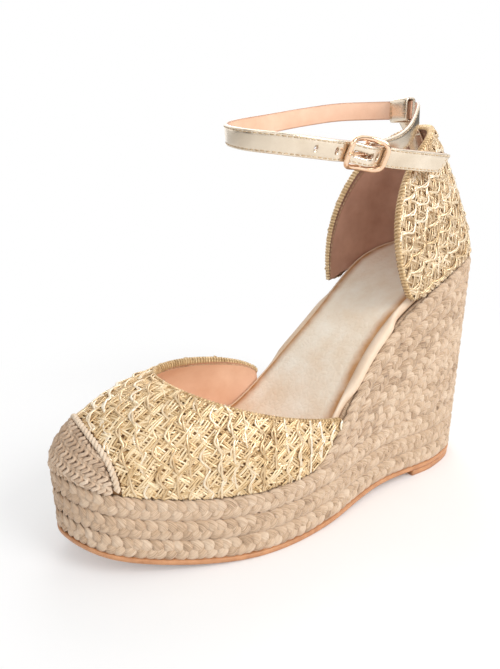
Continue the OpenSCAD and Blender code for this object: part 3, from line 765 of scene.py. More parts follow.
WING_TURN = 3.65
WING_Y = -74.0
THROAT_HEIGHT = 74.0
TOPLINE_LENGTH = WING_Y - TOE_TIP - 50.0
UPPER_INSET = 1.5
CAP_LENGTH = 14.0
CAP_SWEEP = 7.0
COUNTER_TURN = 2.42
COUNTER_Y = -24.0
COUNTER_TOP = 178.0
COUNTER_SEAT_GAP = 1.4


def topline(turn):
    a = math.pi * (turn - WING_TURN) / (TURNS - 2 * WING_TURN)
    c, f = np.cos(a), np.maximum(np.sin(a), 0) ** 0.8
    x = 3.5 + np.where(c > 0, 37.5, -33) * np.abs(c) ** 0.8
    rise = np.where(c < 0, 26 * np.sqrt(f) * (1 - f), 0)
    low = footbed_edge(np.float64(WING_Y)) + 2.5
    return point(x, WING_Y - TOPLINE_LENGTH * f, mix(low, THROAT_HEIGHT, f ** 1.4) + rise)


def vamp_surface(turn, t):
    """Point of the vamp: t runs from 0 at the sole to 1 at the topline."""
    turn, t = np.broadcast_arrays(np.asarray(turn, float), np.asarray(t, float))
    p = inset_point(turn, np.full(turn.shape, UPPER_INSET))
    foot = point(p[..., 0], p[..., 1], footbed_edge(p[..., 1]) + SEAT_GAP)
    top = topline(turn)
    across = (foot - top) * (1, 1, 0)
    reach = np.linalg.norm(across, axis=-1)
    height = top[..., 2] - foot[..., 2]
    drop = 0.06 * reach + 0.3 * np.maximum(0, height - 0.8 * reach)
    up = point(0, 0, 1)
    second = foot + up * (0.55 * height)[..., None]
    third = top + 0.45 * across - up * drop[..., None]
    return bezier(foot, second, third, top, t[..., None])


def behind_cap(p):
    return p[..., 1] - (TOE_TIP + CAP_LENGTH + CAP_SWEEP * (p[..., 0] / 30) ** 2)


def counter_rise(z):
    return np.clip((z - HEEL_HEIGHT) / (COUNTER_TOP - HEEL_HEIGHT), 0, 1.1)


def counter_back(z):
    return HEEL_BACK - UPPER_INSET - 22 * counter_rise(z) ** 1.7


def counter_half(y, z):
    width = 33.4 - 15.5 * np.maximum(0, (z - 105) / 71) ** 1.6
    turn = mix(3, -15, counter_rise(z))
    f = np.clip((y - turn) / (counter_back(z) - turn), 0, 1)
    return width * (1 - f ** 2.2) ** (1 / 2.2)


def counter_edge(v, side):
    """Edge of the counter as (y, z); v runs from 0 at the front corner to 1 at the top of the back."""
    start = np.array([COUNTER_Y, footbed_edge(np.float64(COUNTER_Y)) + 4])
    end = np.array([counter_back(COUNTER_TOP), COUNTER_TOP])
    v = v[..., None]
    outer = bezier(start, np.array([COUNTER_Y - 16, 117]), np.array([COUNTER_Y - 14, 159]), end, v)
    inner = bezier(start, np.array([COUNTER_Y - 1, 112]), np.array([COUNTER_Y - 7, 152]), end, v)
    return np.where((side < 0)[..., None], inner, outer)


def counter_surface(s, w):
    """Point of the counter: s runs from 1 at the outer front corner to -1 at the inner one, w from 0 at
    the sole to 1 at the edge."""
    s, w = np.broadcast_arrays(np.asarray(s, float), np.asarray(w, float))
    side = np.where(s < 0, -1.0, 1.0)
    v = 1 - s * s
    foot = inset_point(COUNTER_TURN * s, np.full(s.shape, UPPER_INSET))
    foot_z = footbed_edge(foot[..., 1]) + COUNTER_SEAT_GAP
    edge = counter_edge(v, side)
    z = mix(foot_z, edge[..., 1], w)
    bulge = counter_back(z) - mix(counter_back(foot_z), counter_back(edge[..., 1]), w)
    y = mix(foot[..., 1], edge[..., 0], w) + bulge * v ** 4
    slip = foot[..., 0] - side * counter_half(foot[..., 1], foot_z)
    return point(side * counter_half(y, z) + slip * (1 - w) ** 2, y, z)


NORMAL_STEP = 0.012      # step in surface places for working out a normal
SHORTEST_STRAND = 4      # points; a shorter piece of a strand is left out


class Skin:
    """A curved surface with outward normals, and its flat cloth pattern worked out by keeping lengths."""

    def __init__(self, surface, a_range, b_range, start, upright, inside, size=(61, 19)):
        self.surface, self.flip = surface, 1
        a, b = np.meshgrid(np.linspace(*a_range, size[0]), np.linspace(*b_range, size[1]), indexing="ij")
        self.places = np.stack([a.ravel(), b.ravel()], axis=1)
        solid = surface(self.places[:, 0], self.places[:, 1])
        quads = grid_faces(*size)
        self.faces = np.concatenate([quads[:, [0, 1, 2]], quads[:, [0, 2, 3]]])
        self.flat = self.unroll(solid, start(solid, self.places))
        self.turn_upright(upright)
        self.point_outward(inside)
        corners = [Vector((x, y, 0)) for x, y in self.flat]
        self.tree = BVHTree.FromPolygons(corners, self.faces.tolist())

    def normal(self, a, b):
        """Outward normals at surface places."""
        da = self.surface(a + NORMAL_STEP, b) - self.surface(a - NORMAL_STEP, b)
        db = self.surface(a, b + NORMAL_STEP) - self.surface(a, b - NORMAL_STEP)
        return unit(np.cross(da, db)) * self.flip

    def unroll(self, solid, guess, rounds=60):
        """Flattens the surface so that each triangle keeps its shape as nearly as it can.

        Flat points are complex numbers. Each round turns every triangle to lie as in the last pattern,
        then finds the points that suit all triangles together.
        """
        flat = guess[:, 0] + 1j * guess[:, 1]
        first, second, third = (solid[self.faces[:, k]] for k in range(3))
        base = np.linalg.norm(second - first, axis=1)
        axis = (second - first) / base[:, None]
        reach = np.sum((third - first) * axis, axis=1)
        height = np.linalg.norm(third - first - reach[:, None] * axis, axis=1)
        shape = np.stack([0 * base, base, reach + 1j * height * self.handedness(flat)], axis=1)
        edges = []
        for k in range(3):
            a, b, c = k, (k + 1) % 3, (k + 2) % 3
            corner = (shape[:, a] - shape[:, c]) * (shape[:, b] - shape[:, c]).conj()
            weight = corner.real / np.maximum(base * height, 1e-6)
            edges.append((self.faces[:, a], self.faces[:, b], shape[:, a] - shape[:, b], weight))
        count = len(solid)
        laplace = np.zeros((count, count))
        for i, j, _, weight in edges:
            for a, b in ((i, j), (j, i)):
                np.add.at(laplace, (a, a), weight)
                np.add.at(laplace, (a, b), -weight)
        laplace[0, 0] += 1
        inverse = np.linalg.inv(laplace + 1e-9 * np.eye(count))
        for _ in range(rounds):
            turn = sum(weight * (flat[i] - flat[j]) * edge.conj() for i, j, edge, weight in edges)
            turn /= np.maximum(np.abs(turn), 1e-12)
            goal = np.zeros(count, complex)
            for i, j, edge, weight in edges:
                np.add.at(goal, i, weight * turn * edge)
                np.add.at(goal, j, -weight * turn * edge)
            goal[0] += flat[0]
            flat = inverse @ goal
        return np.stack([flat.real, flat.imag], axis=1)

    def handedness(self, flat):
        """1 if the triangles of a flat pattern run anticlockwise, and -1 if clockwise."""
        a, b, c = (flat[self.faces[:, k]] for k in range(3))
        return 1 if np.sum(((b - a).conj() * (c - a)).imag) >= 0 else -1

    def turn_upright(self, upright):
        """Turns the flat pattern so that the second of two surface places lies straight above the first."""
        nearest = [np.argmin(np.linalg.norm(self.places - place, axis=1)) for place in upright]
        first, second = self.flat[nearest]
        up = unit(second - first)
        right = np.array([up[1], -up[0]])
        self.flat = np.stack([self.flat @ right, self.flat @ up], axis=1)

    def point_outward(self, inside):
        """Makes the normals point away from a place inside the shoe."""
        a, b = self.places[len(self.places) // 2]
        spot = self.surface(np.array([a]), np.array([b]))[0]
        if self.normal(np.array([a]), np.array([b]))[0] @ (spot - np.array(inside)) <= 0:
            self.flip = -1

    def flat_at(self, place):
        """Point of the flat pattern nearest to a surface place."""
        return self.flat[np.argmin(np.linalg.norm((self.places - place) * (1, 8), axis=1))]

    def place(self, flat_path):
        """Surface coordinates of points of the flat pattern; points outside it give nan."""
        found = np.full((len(flat_path), 2), np.nan)
        down = Vector((0, 0, -1))
        for i, (x, y) in enumerate(flat_path):
            hit, _, face, _ = self.tree.ray_cast(Vector((x, y, 1)), down)
            if hit is None:
                continue
            a, b, c = self.flat[self.faces[face]]
            share = np.linalg.solve(np.array([b - a, c - a]).T, (x, y) - a)
            pa, pb, pc = self.places[self.faces[face]]
            found[i] = pa + share[0] * (pb - pa) + share[1] * (pc - pa)
        return found

    def lay(self, strands, flat_path, height, region, width, thickness, **options):
        """Lays a strand on the surface along a path of the flat pattern, wherever the region allows."""
        place = self.place(flat_path)
        allowed = ~np.isnan(place[:, 0])
        place = np.where(allowed[:, None], place, (self.places[0, 0], 0.5))
        spots = self.surface(*place.T)
        allowed &= region(spots)
        cuts = np.flatnonzero(np.diff(np.concatenate([[0], allowed.astype(int), [0]])))
        for first, last in zip(cuts[::2], cuts[1::2]):
            if last - first < SHORTEST_STRAND:
                continue
            a, b = place[first:last].T
            normals = self.normal(a, b)
            path = spots[first:last] + height[first:last, None] * normals
            strands.add(path, normals, width, thickness, **options)


def everywhere(spots):
    return np.ones(len(spots), bool)


def vamp_start(solid, places):
    """First guess of the vamp's flat pattern: ribs fan out from the topline, as seen from above."""
    top = topline(places[:, 0])[:, :2]
    foot = inset_point(places[:, 0], np.full(len(places), UPPER_INSET))
    out = unit(foot - top + 1e-6)
    reach = np.linalg.norm(solid - topline(places[:, 0]), axis=1)
    return top + out * reach[:, None]


def counter_start(solid, places):
    """First guess of the counter's flat pattern: unrolled sideways from its back."""
    return np.stack([places[:, 0] * 62, solid[:, 2] - 100], axis=1)


def vamp_turns(margin):
    """First and last turn of the vamp, short of its corners by a margin."""
    return WING_TURN + margin, TURNS - WING_TURN - margin


vamp_skin = Skin(vamp_surface, vamp_turns(0.02), (0, 1), vamp_start, upright=((8, 0), (8, 1)),
                 inside=(0, -130, 40))
counter_skin = Skin(counter_surface, (0.995, -0.995), (0, 1), counter_start, upright=((0, 0.2), (0, 0.9)),
                    inside=(0, 0, 140), size=(49, 15))


def skin_sheet(name, skin, a_range, b_range, depths, material, size):
    """Closed sheet between two depths under a skin."""
    a, b = np.meshgrid(np.linspace(*a_range, size[0]), np.linspace(*b_range, size[1]), indexing="ij")
    spots, normals = skin.surface(a, b), skin.normal(a, b)
    outer, inner = (spots - depth * normals for depth in depths)
    # Edge value, for painted shade along the top edge where the material has an edge colour.
    edge = np.maximum(1 - smooth((b_range[1] - b) * 14), 0)
    sections = np.concatenate([outer, inner[:, ::-1]], axis=1)
    edges = np.concatenate([edge, edge[:, ::-1]], axis=1)
    return rib_loft(name, sections, material, values={"edge": edges.ravel()})


# ---------------------------------------------------------------- woven straw

CELL_WIDTH = 10.6        # one scalloped arc of straw
CELL_ROW = 6.2           # distance between rows of arcs
STRAW_GAP = 1.0          # distance between the straws of a band
BAND = (-1, 0, 1)        # straws side by side in a band
ARC_DEPTH = 2.3          # how far an arc hangs down
ARC_TURN = 0.8           # share of the straw step between the points of an arc
STRAW_STEP = 0.85        # distance between the points of a straw
STRAW_WIDTH = 0.5        # half width of a straw, varied from straw to straw
STRAW_THICKNESS = 0.34
ARC_WIDTH = 0.6
ARC_THICKNESS = 0.42
BASE_DEPTHS = (0.75, 1.6)
LINING_DEPTH = 1.9       # from the skin to the lining's back
BINDING_PITCH = 1.7      # from one winding of the binding's straw to the next
BINDING_WIDTH = 0.7
BINDING_STEPS = 12       # points in one winding


def turned(x, y, angle, centre):
    c, s = math.cos(angle), math.sin(angle)
    return np.stack([centre[0] + c * x - s * y, centre[1] + s * x + c * y], axis=1)


def lay_bands(strands, skin, frame_of_rows, reach, region, direction, spacing, phase, lift):
    """Bands of straws side by side, all in one direction, going over and under the other bands."""
    angle, centre = frame_of_rows
    x = np.arange(-reach, reach, STRAW_STEP)
    for k, middle in enumerate(np.arange(-reach, reach, spacing)):
        for side in BAND:
            sway = 0.35 * np.sin(x / 3.1 + k * 1.7 + side) + 0.25 * np.sin(x / 7.7 + k * 2.9 + side * 1.3)
            wave = np.cos(math.pi * (x / CELL_ROW + k + phase)) + 0.5 * np.sin(x / 2.3 + k + 2 * side)
            path = turned(x, middle + side * STRAW_GAP + sway, angle + direction, centre)
            width = STRAW_WIDTH * random.uniform(0.85, 1.2)
            skin.lay(strands, path, lift + 0.3 * wave, region, width, STRAW_THICKNESS, sides=6)


def lay_arcs(strands, skin, frame_of_rows, reach, region):
    """Rows of hanging double arcs, each row half a cell beside the last."""
    angle, centre = frame_of_rows
    x = np.arange(-reach, reach, STRAW_STEP * ARC_TURN)
    for k, middle in enumerate(np.arange(-reach, reach, CELL_ROW)):
        place = x / CELL_WIDTH + 0.5 * (k % 2)
        dip = np.abs(np.sin(math.pi * place))
        for side in (-0.5, 0.5):
            twist = side * 1.3 * np.cos(2 * math.pi * place) + 0.35 * np.sin(x / 5.3 + k * 2.3)
            y = middle - ARC_DEPTH * dip + twist
            over = dip ** 0.6 * (0.55 + 0.45 * np.sin(x / 8.7 + k * 1.9 + side))
            height = -0.3 + 1.2 * over + 0.25 * side * np.sin(2 * math.pi * place)
            path = turned(x, y, angle, centre)
            skin.lay(strands, path, height, region, ARC_WIDTH, ARC_THICKNESS, sides=6)


def weave(name, skin, angle, region, straw, node):
    """Woven straw on a skin: bands of straw in three directions, and scalloped arcs over them in a lighter
    straw, a painted highlight.
    """
    low, high = skin.flat.min(0), skin.flat.max(0)
    reach = np.linalg.norm(high - low) / 2
    rows = (angle, (low + high) / 2)
    slant = math.atan2(CELL_ROW, CELL_WIDTH / 2)
    spacing = CELL_WIDTH / 2 * math.sin(slant)
    layers = [("rising", slant, spacing, 0.0, -0.3), ("falling", -slant, spacing, 0.5, -0.15),
              ("upright", math.pi / 2, CELL_WIDTH / 2, 0.25, -0.45)]
    for part, direction, distance, phase, lift in layers:
        strands = Strands()
        lay_bands(strands, skin, rows, reach, region, direction, distance, phase, lift)
        finish_piece(strands.build(f"{name}_{part}", straw), "shoe", "raffia")
    arcs = Strands()
    lay_arcs(arcs, skin, rows, reach, region)
    finish_piece(arcs.build(f"{name}_arcs", STRAW_PAINTED_HIGHLIGHT), "shoe", "raffia", node)


def behind_cap_edge(spots):
    return behind_cap(spots) > 0.8


def bind_edge(name, skin, places, sample, inward, down, radii, node):
    """Edge of an upper, bound by a straw wound round it."""
    count = len(places)
    edge = skin.surface(places, np.ones(count))
    normals = skin.normal(places, np.full(count, 0.98))
    downward = unit(skin.surface(places, np.full(count, sample)) - edge)
    centre = edge - inward * normals + down * downward
    distance = lengths(centre)
    s = np.linspace(0, distance[-1], int(distance[-1] / BINDING_PITCH) * BINDING_STEPS)
    middle = resample(s, distance, centre)
    out, across = (unit(resample(s, distance, directions)) for directions in (normals, downward))
    turn = 2 * math.pi * s / BINDING_PITCH
    around = radii[0] * np.cos(turn)[:, None] * out + radii[1] * np.sin(turn)[:, None] * across
    strands = Strands()
    strands.add(middle, out, radii[1] - 0.1, radii[0] - 0.1, sides=10, tone=0.1)
    strands.add(middle + around, around, BINDING_WIDTH, 0.32, sides=6)
    finish_piece(strands.build(name, STRAW), "shoe", "raffia", node)


def line_upper(name, skin, ends, base_size, lining, lining_front, lining_size):
    """Dark base under the woven straw, painted shade for the gaps between the straws, and the leather lining
    inside it.
    """
    base = skin_sheet(f"{name}_base", skin, ends, (0, 0.985), BASE_DEPTHS, STRAW_SHADE_BASE, base_size)
    finish_piece(base, "shoe", "raffia")
    depths = (LINING_DEPTH, lining_front)
    sheet = skin_sheet(f"{name}_lining_sheet", skin, ends, (0, 0.99), depths, lining, lining_size)
    finish_piece(sheet, "shoe", "pink_lining", f"{name}_lining")


vamp_edge = np.linspace(*vamp_turns(0.03), 260)
line_upper("vamp", vamp_skin, vamp_turns(0.04), (120, 26), PINK_LINING, 3.2, (160, 30))
weave("vamp_weave", vamp_skin, -0.45, behind_cap_edge, STRAW, "vamp")
bind_edge("vamp_binding_wrap", vamp_skin, vamp_edge, 0.97, 1.2, 0.5, (1.7, 0.85), "vamp_binding")

counter_ends = (0.985, -0.985)
counter_places = np.linspace(*counter_ends, 300)
line_upper("counter", counter_skin, counter_ends, (110, 30), SHADED_PINK_LINING, 3.3, (140, 30))
weave("counter_weave", counter_skin, 0.0, everywhere, STRAW_SHINY_SHADED, "counter_shell")
bind_edge("counter_binding_wrap", counter_skin, counter_places, 0.96, 1.3, 0.6, (1.75, 0.8),
          "counter_binding")


# ---------------------------------------------------------------- toe cap

STITCH_PITCH = 5.2       # length of one stitch
STITCH_ROW = 5.0         # distance between rows
STITCH_HEIGHT = 2.15     # half the height of a stitch
CAP_ROWS = 8
CAP_REACH = 45.0         # half the length of a row
CAP_FIRST_ROW = 2.9      # from the cap's edge to the middle of the first row
CAP_YARN = (0.86, 0.9)   # half width and half thickness
RIB_POINTS = 80
CORD_STEP = 0.45
CORD_PLY = 2
CORD_PITCH = 4.2
CORD_RADIUS = 0.62       # from the cord's middle to the middle of a yarn
CORD_YARN = 0.8


def in_cap(spots):
    return behind_cap(spots) < -0.9


def crochet_cap():
    """Rows of interlocked loops of jute yarn, parallel to the cap's edge."""
    strands = Strands()
    centre_rib = np.linspace(0, 1, 400)
    edge_place = np.interp(0, behind_cap(vamp_surface(np.full(400, TURNS / 2), centre_rib)), centre_rib)
    middle_x, edge = vamp_skin.flat_at((TURNS / 2, edge_place))
    phase = np.arange(0, 2 * math.pi * 2 * CAP_REACH / STITCH_PITCH, 0.32)
    for k in range(CAP_ROWS):
        for half in (0, 1):
            turn = phase + math.pi * half + 0.2 * np.sin(phase * 0.37 + k)
            x = -CAP_REACH + phase * STITCH_PITCH / (2 * math.pi) + 1.4 * np.sin(2 * turn)
            middle = edge - CAP_FIRST_ROW - k * STITCH_ROW + CAP_SWEEP * (x / 30) ** 2
            y = middle + STITCH_HEIGHT * np.cos(turn) + 0.25 * np.sin(phase * 0.61 + 2 * k)
            height = -0.15 + 0.8 * np.sin(turn)
            vamp_skin.lay(strands, np.stack([x + middle_x, y], axis=1), height, in_cap, *CAP_YARN,
                          sides=8, ply=3, ply_depth=0.12, ply_turns=2.0)
    return strands.build("toe_cap_crochet", CROCHET)


def cap_edge_path():
    """Line where the cap's edge crosses each rib of the vamp, and its normals."""
    t = np.linspace(0, 1, RIB_POINTS)
    places = []
    for turn in np.linspace(6.0, 10.0, 700):
        across = behind_cap(vamp_surface(np.full(RIB_POINTS, turn), t))
        if across[0] <= 0:
            places.append((turn, np.interp(0, across, t)))
    turns, levels = np.array(places).T
    return vamp_surface(turns, levels), vamp_skin.normal(turns, levels)


def cap_cord(line, normals):
    """Yarns twisted round each other along a line."""
    strands = Strands()
    distance = lengths(line)
    s = np.linspace(0, distance[-1], int(distance[-1] / CORD_STEP))
    middle, out = resample(s, distance, line), unit(resample(s, distance, normals))
    side = np.cross(unit(np.gradient(middle, axis=0)), out)
    for k in range(CORD_PLY):
        turn = 2 * math.pi * (s / CORD_PITCH + k / CORD_PLY)
        path = middle + CORD_RADIUS * (np.cos(turn)[:, None] * out + np.sin(turn)[:, None] * side)
        strands.add(path, out, CORD_YARN, CORD_YARN, sides=8, tone=0.9)
    return strands.build("toe_cap_cord", CORD)


finish_piece(crochet_cap(), "shoe", "jute_crochet", "toe_cap")
cap_line, cap_normals = cap_edge_path()
finish_piece(cap_cord(cap_line + 0.5 * cap_normals, cap_normals), "shoe", "jute_crochet", "toe_cap_edging")


# ---------------------------------------------------------------- ankle strap

STRAP_KNOTS = np.array([
    (22, -18, 182), (9.5, -1.5, 184.6), (-4, 3, 185.4), (-17, -4, 186), (-28, -20, 186), (-33, -39, 184),
    (-31, -62, 181), (-23, -86, 178), (-8, -100, 175.5), (9, -102.5, 173), (21, -95, 171),
    (27.5, -80, 168.6), (30.3, -62, 166), (31.6, -44, 163.4), (32.2, -22, 161), (31.5, -2, 159),
    (30, 18, 157), (28, 38, 155),
], float)
STRAP_LEAN = np.array([0, 0, 0, 0, 0, 0, 0, 0, 4, 10, 16, 20, 22, 22, 20, 16, 12, 8], float)
STRAP_ROWS = 26          # sections of a strap in one turn
STRAP_STEP = 0.02        # step in turns for working out the strap's direction
TURN_LENGTH = 20.1       # length of one turn near the tip
BEND_REACH = 0.5         # turns on either side of a joint to the points given as the start and end of a bend
SHARP_ANGLE = math.radians(50)
BACK_TURN = -0.5
SIDE_JOINT = 0.62
FRONT_JOINT = 4.75
END_JOINT = 8.3
TIP_TURN = 13.0
TIP_SLANT = 0.577
BUCKLE_TURN = 10.45
BAR_DEPTH = -1.5
HOLE_TURNS = (9.05, 9.6, 10.75)
HOLE_RADIUS = 0.9
SEAM = 3.55              # from the middle of a strap to a row of stitches
STITCH_POINTS = 6        # points on one stitch
STITCH_SHARE = 0.7       # share of the pitch that a stitch takes up
STITCH_SIZE = (0.26, 0.16)  # half width and half thickness


def whole_section(half, top, bottom):
    """Closed section as (across, depth) pairs, from one half and the depths of its top and bottom middle."""
    half = np.array(half)
    return np.concatenate([half, [(0, top)], half[::-1] * (-1, 1), [(0, bottom)]])


LEATHER_SECTION = whole_section([
    (-4.5, 0.05), (-4.5, 0.8), (-4.38, 1.05), (-4.1, 1.2), (-3.8, 1.2), (-3.55, 1.08), (-3.3, 1.18),
    (-2.4, 1.26),
], 1.3, 0.05)
LINING_SECTION = whole_section([
    (4.5, -0.05), (4.5, -0.5), (4.3, -0.7), (3.8, -0.76), (3.5, -0.7), (3.2, -0.76),
], -0.78, -0.05)


def slanted(turn, across):
    """Ends the long strap's tip on a slant with rounded corners; places before the tip stay as they are."""
    rounding = 1.6 * np.maximum(0, np.abs(across) - 3.5) ** 2
    reach = (1.6 + (4.5 - across) * TIP_SLANT + rounding) / TURN_LENGTH
    return turn - reach * np.clip((turn - TIP_TURN + 1.2) / 1.2, 0, 1) ** 2


class Strap:
    """Flat strap along smooth knots; the turn t is at knot t + 2."""

    def __init__(self, knots, lean, facing, bump=np.zeros_like):
        """Lean and bump are functions of the turn; facing is -1 if the strap runs the other way round."""
        self.knots, self.lean, self.facing, self.bump = knots, lean, facing, bump

    def centre(self, turn):
        return through(self.knots, np.asarray(turn, float) + 2)

    def directions(self, turn):
        """Directions outward, along and across the strap."""
        turn = np.asarray(turn, float)
        along = unit(self.centre(turn + STRAP_STEP) - self.centre(turn - STRAP_STEP))
        upright = unit(point(0, 0, 1) - along[..., 2:] * along)
        lean = np.radians(self.lean(turn))[..., None]
        outward = self.facing * np.cos(lean) * np.cross(along, upright) - np.sin(lean) * upright
        return outward, along, self.facing * np.cross(outward, along)

    def surface(self, turn, across, depth):
        turn, across, depth = np.broadcast_arrays(np.asarray(turn, float), across, depth)
        outward, _, up = self.directions(turn)
        return self.centre(turn) + across[..., None] * up + (depth + self.bump(turn))[..., None] * outward

    def layer(self, name, start, stop, section, material):
        """One layer of the strap, with painted shade darkening its edges where the material has an edge
        colour.
        """
        turns = np.linspace(start, stop, int((stop - start) * STRAP_ROWS))
        across, depth = section.T
        points = self.surface(slanted(turns[:, None], across), across, depth)
        edge = np.tile(smooth((np.abs(across) - 4.0) / 0.5), len(turns))
        piece = rib_loft(name, points, material, values={"edge": edge})
        piece.data.set_sharp_from_angle(angle=SHARP_ANGLE)
        return piece

    def stitch(self, strands, turns, across, depth):
        """Row of stitches on the strap's outer face."""
        places = slanted(turns, across)
        add_stitches(strands, self.surface(places, across, depth), self.directions(places)[0])


def buckle_bump(turn):
    """How far the long strap rises over the buckle's bar, and sinks beside it."""
    d = (turn - BUCKLE_TURN) * 18
    return 1.7 * np.exp(-(d / 4) ** 2) - 0.9 * np.exp(-((np.abs(d) - 10) / 4) ** 2)


long_strap = Strap(STRAP_KNOTS, lambda turn: through(STRAP_LEAN, turn + 2), 1, buckle_bump)


def add_stitches(strands, line, normals, pitch=2.5):
    """Row of stitches along a line on a surface."""
    distance = lengths(line)
    count = int(distance[-1] / pitch)
    reach = np.linspace(-STITCH_SHARE / 2, STITCH_SHARE / 2, STITCH_POINTS)
    lift = 0.16 * np.sin(np.linspace(0, math.pi, STITCH_POINTS)) - 0.04
    for k in range(count):
        s = (k + 0.5 + reach) * distance[-1] / count
        path, out = resample(s, distance, line), resample(s, distance, normals)
        path = path + lift[:, None] * out
        strands.add(path, out, *STITCH_SIZE, sides=6, ply=2, ply_depth=0.12, ply_turns=3)


def long_strap_stitches(name, start, stop, tip):
    """Two rows of stitches on the leather, joined across the tip."""
    strands = Strands()
    end = stop - (1.7 / TURN_LENGTH if tip else 0)
    turns = np.linspace(start, end, 200)
    rows = [(turns, np.full(200, -SEAM)), (turns[::-1], np.full(200, SEAM))]
    if tip:
        crossing = (np.full(10, end), np.linspace(-SEAM, SEAM, 12)[1:-1])
        rows = [[np.concatenate(parts) for parts in zip(rows[0], crossing, rows[1])]]
    for turns, across in rows:
        long_strap.stitch(strands, turns, across, 1.14)
    return strands.build(name, THREAD)


def strap_rod(along, radius, turn=BUCKLE_TURN, half_length=4):
    """Round rod through the long strap, to cut a hole with."""
    outward, forward, up = long_strap.directions(turn)
    middle = long_strap.centre(turn) + along * forward
    steps = np.linspace(-half_length, half_length, 5)[:, None]
    rod = Strands()
    rod.add(middle + steps * outward, np.tile(up, (5, 1)), radius, radius, sides=24)
    return rod.build("hole_cutter", THREAD)


def cut_holes(piece, cutters):
    """Cuts the cutters out of a piece and removes them."""
    for cutter in cutters:
        turn_outward(cutter)
        modifier = piece.modifiers.new("hole", "BOOLEAN")
        modifier.operation = "DIFFERENCE"
        modifier.object = cutter
        modifier.solver = "EXACT"
    bpy.context.view_layer.update()
    shape = piece.evaluated_get(bpy.context.evaluated_depsgraph_get())
    mesh = bpy.data.meshes.new_from_object(shape)
    piece.modifiers.clear()
    piece.data = mesh
    for cutter in cutters:
        bpy.data.objects.remove(cutter)


# Name, first and last turn, bodies, turn of the joint between them, and the leather's CAD nodes.
STRAP_LENGTHS = [
    ("inner", BACK_TURN, 2.7, ("ankle_loop", "inner_strap"), SIDE_JOINT, ["strap_back"]),
    ("front", 2.7, 6.5, ("inner_strap", "front_strap"), FRONT_JOINT, ["strap_side"]),
    ("outer", 6.5, TIP_TURN, ("front_strap", "strap_tail"), END_JOINT, ["strap_front", "strap_end"]),
]
for name, start, stop, bodies, joint, nodes in STRAP_LENGTHS:
    tip = stop == TIP_TURN
    leather = long_strap.layer(f"strap_{name}_leather", start, stop, LEATHER_SECTION, GOLD_LEATHER)
    lining = long_strap.layer(f"strap_{name}_lining_layer", start, stop, LINING_SECTION, PINK_LINING)
    if tip:
        for layer in (leather, lining):
            # The prong's slot is a row of round holes that run into each other.
            cutters = [strap_rod(0, HOLE_RADIUS, turn) for turn in HOLE_TURNS]
            cutters += [strap_rod(along, 1.15) for along in (-1.7, -2.7, -3.8, -4.9, -5.8)]
            cutters += [strap_rod(along, 0.95) for along in (-0.9, 0.0, 0.9, 1.7)]
            cut_holes(layer, cutters)
    stitches = long_strap_stitches(f"strap_{name}_stitches", start, stop, tip)
    bend = [long_strap.centre(joint + reach) for reach in (-BEND_REACH, BEND_REACH)]
    finish_bending(leather, bodies, *bend, "gold_leather", *nodes)
    finish_bending(lining, bodies, *bend, "pink_lining", *(f"{node}_lining" for node in nodes))
    finish_bending(stitches, bodies, *bend, "gold_leather")


# ---------------------------------------------------------------- short strap, loop and tab

SHORT_KNOTS = np.array([
    (-13, 0, 185.5), (-1, 4, 185.2), (9.5, -0.5, 183), (19.5, -14.5, 174.5), (25, -27, 169.5),
    (28, -40, 166.8), (29.1, -52.6, 165.1), (29.1, -66, 162), (29, -80, 159),
], float)
SHORT_START = -0.3
SHORT_END = 4.0
SHORT_BEND_END = 0.7
FOLD_START = 1.3         # from the short strap's end to the start of its fold
SHORT_SECTION = LEATHER_SECTION - (0, 0.62)
SHORT_LINING_SECTION = LINING_SECTION - (0, 0.52)
FOLD_SECTION = SHORT_LINING_SECTION - (0, 0.25)

short_strap = Strap(SHORT_KNOTS, lambda turn: 20 * smooth(turn / SHORT_END), -1)
short_leather = short_strap.layer("buckle_strap_leather", SHORT_START, SHORT_END - 0.08, SHORT_SECTION,
                                  GOLD_LEATHER)
short_fold = short_strap.layer("buckle_strap_fold", SHORT_END - FOLD_START + 0.02, SHORT_END - 0.1,
                               FOLD_SECTION, GOLD_LEATHER)
for layer in (short_leather, short_fold):
    cut_holes(layer, [strap_rod(along, 1.2) for along in (0.6, 1.6, 2.4)])
short_lining = short_strap.layer("buckle_strap_lining", SHORT_START, SHORT_END - FOLD_START,
                                 SHORT_LINING_SECTION, PINK_LINING)
short_stitches = Strands()
for across in (-SEAM, SEAM):
    turns = np.linspace(SHORT_START, SHORT_END - 0.2, 160)
    short_strap.stitch(short_stitches, turns, np.full(160, across), 0.5)
stitches = short_stitches.build("buckle_strap_stitches", THREAD)

finish_piece(short_fold, "buckle_tab", "gold_leather")
short_bend = short_strap.centre(SHORT_START), short_strap.centre(SHORT_BEND_END)
for piece, nodes in ((short_leather, ["buckle_strap"]), (short_lining, []), (stitches, [])):
    finish_bending(piece, ("ankle_loop", "buckle_tab"), *short_bend, "gold_leather", *nodes)

bar_outward, bar_along, bar_up = long_strap.directions(BUCKLE_TURN)
BAR_MIDDLE = long_strap.centre(BUCKLE_TURN) + BAR_DEPTH * bar_outward


def at_bar(p):
    """Point given as outward, along and up from the middle of the buckle's bar."""
    p = np.asarray(p, float)
    return BAR_MIDDLE + p[..., :1] * bar_outward + p[..., 1:2] * bar_along + p[..., 2:] * bar_up


def bar_ring(name, low, high, bore, radius, material):
    """Ring round the bar with rounded edges."""
    angle = np.linspace(0, 2 * math.pi, 32, endpoint=False)
    edge = min(0.25, (high - low) / 4)
    corners = [(bore, low), (radius - edge, low), (radius, low + edge), (radius, high - edge),
               (radius - edge, high), (bore, high)]
    sections = np.stack([point(r * np.cos(angle), r * np.sin(angle), z) for r, z in corners], axis=1)
    piece = rib_loft(name, at_bar(sections), material, ring=True)
    piece.data.set_sharp_from_angle(angle=SHARP_ANGLE)
    return piece


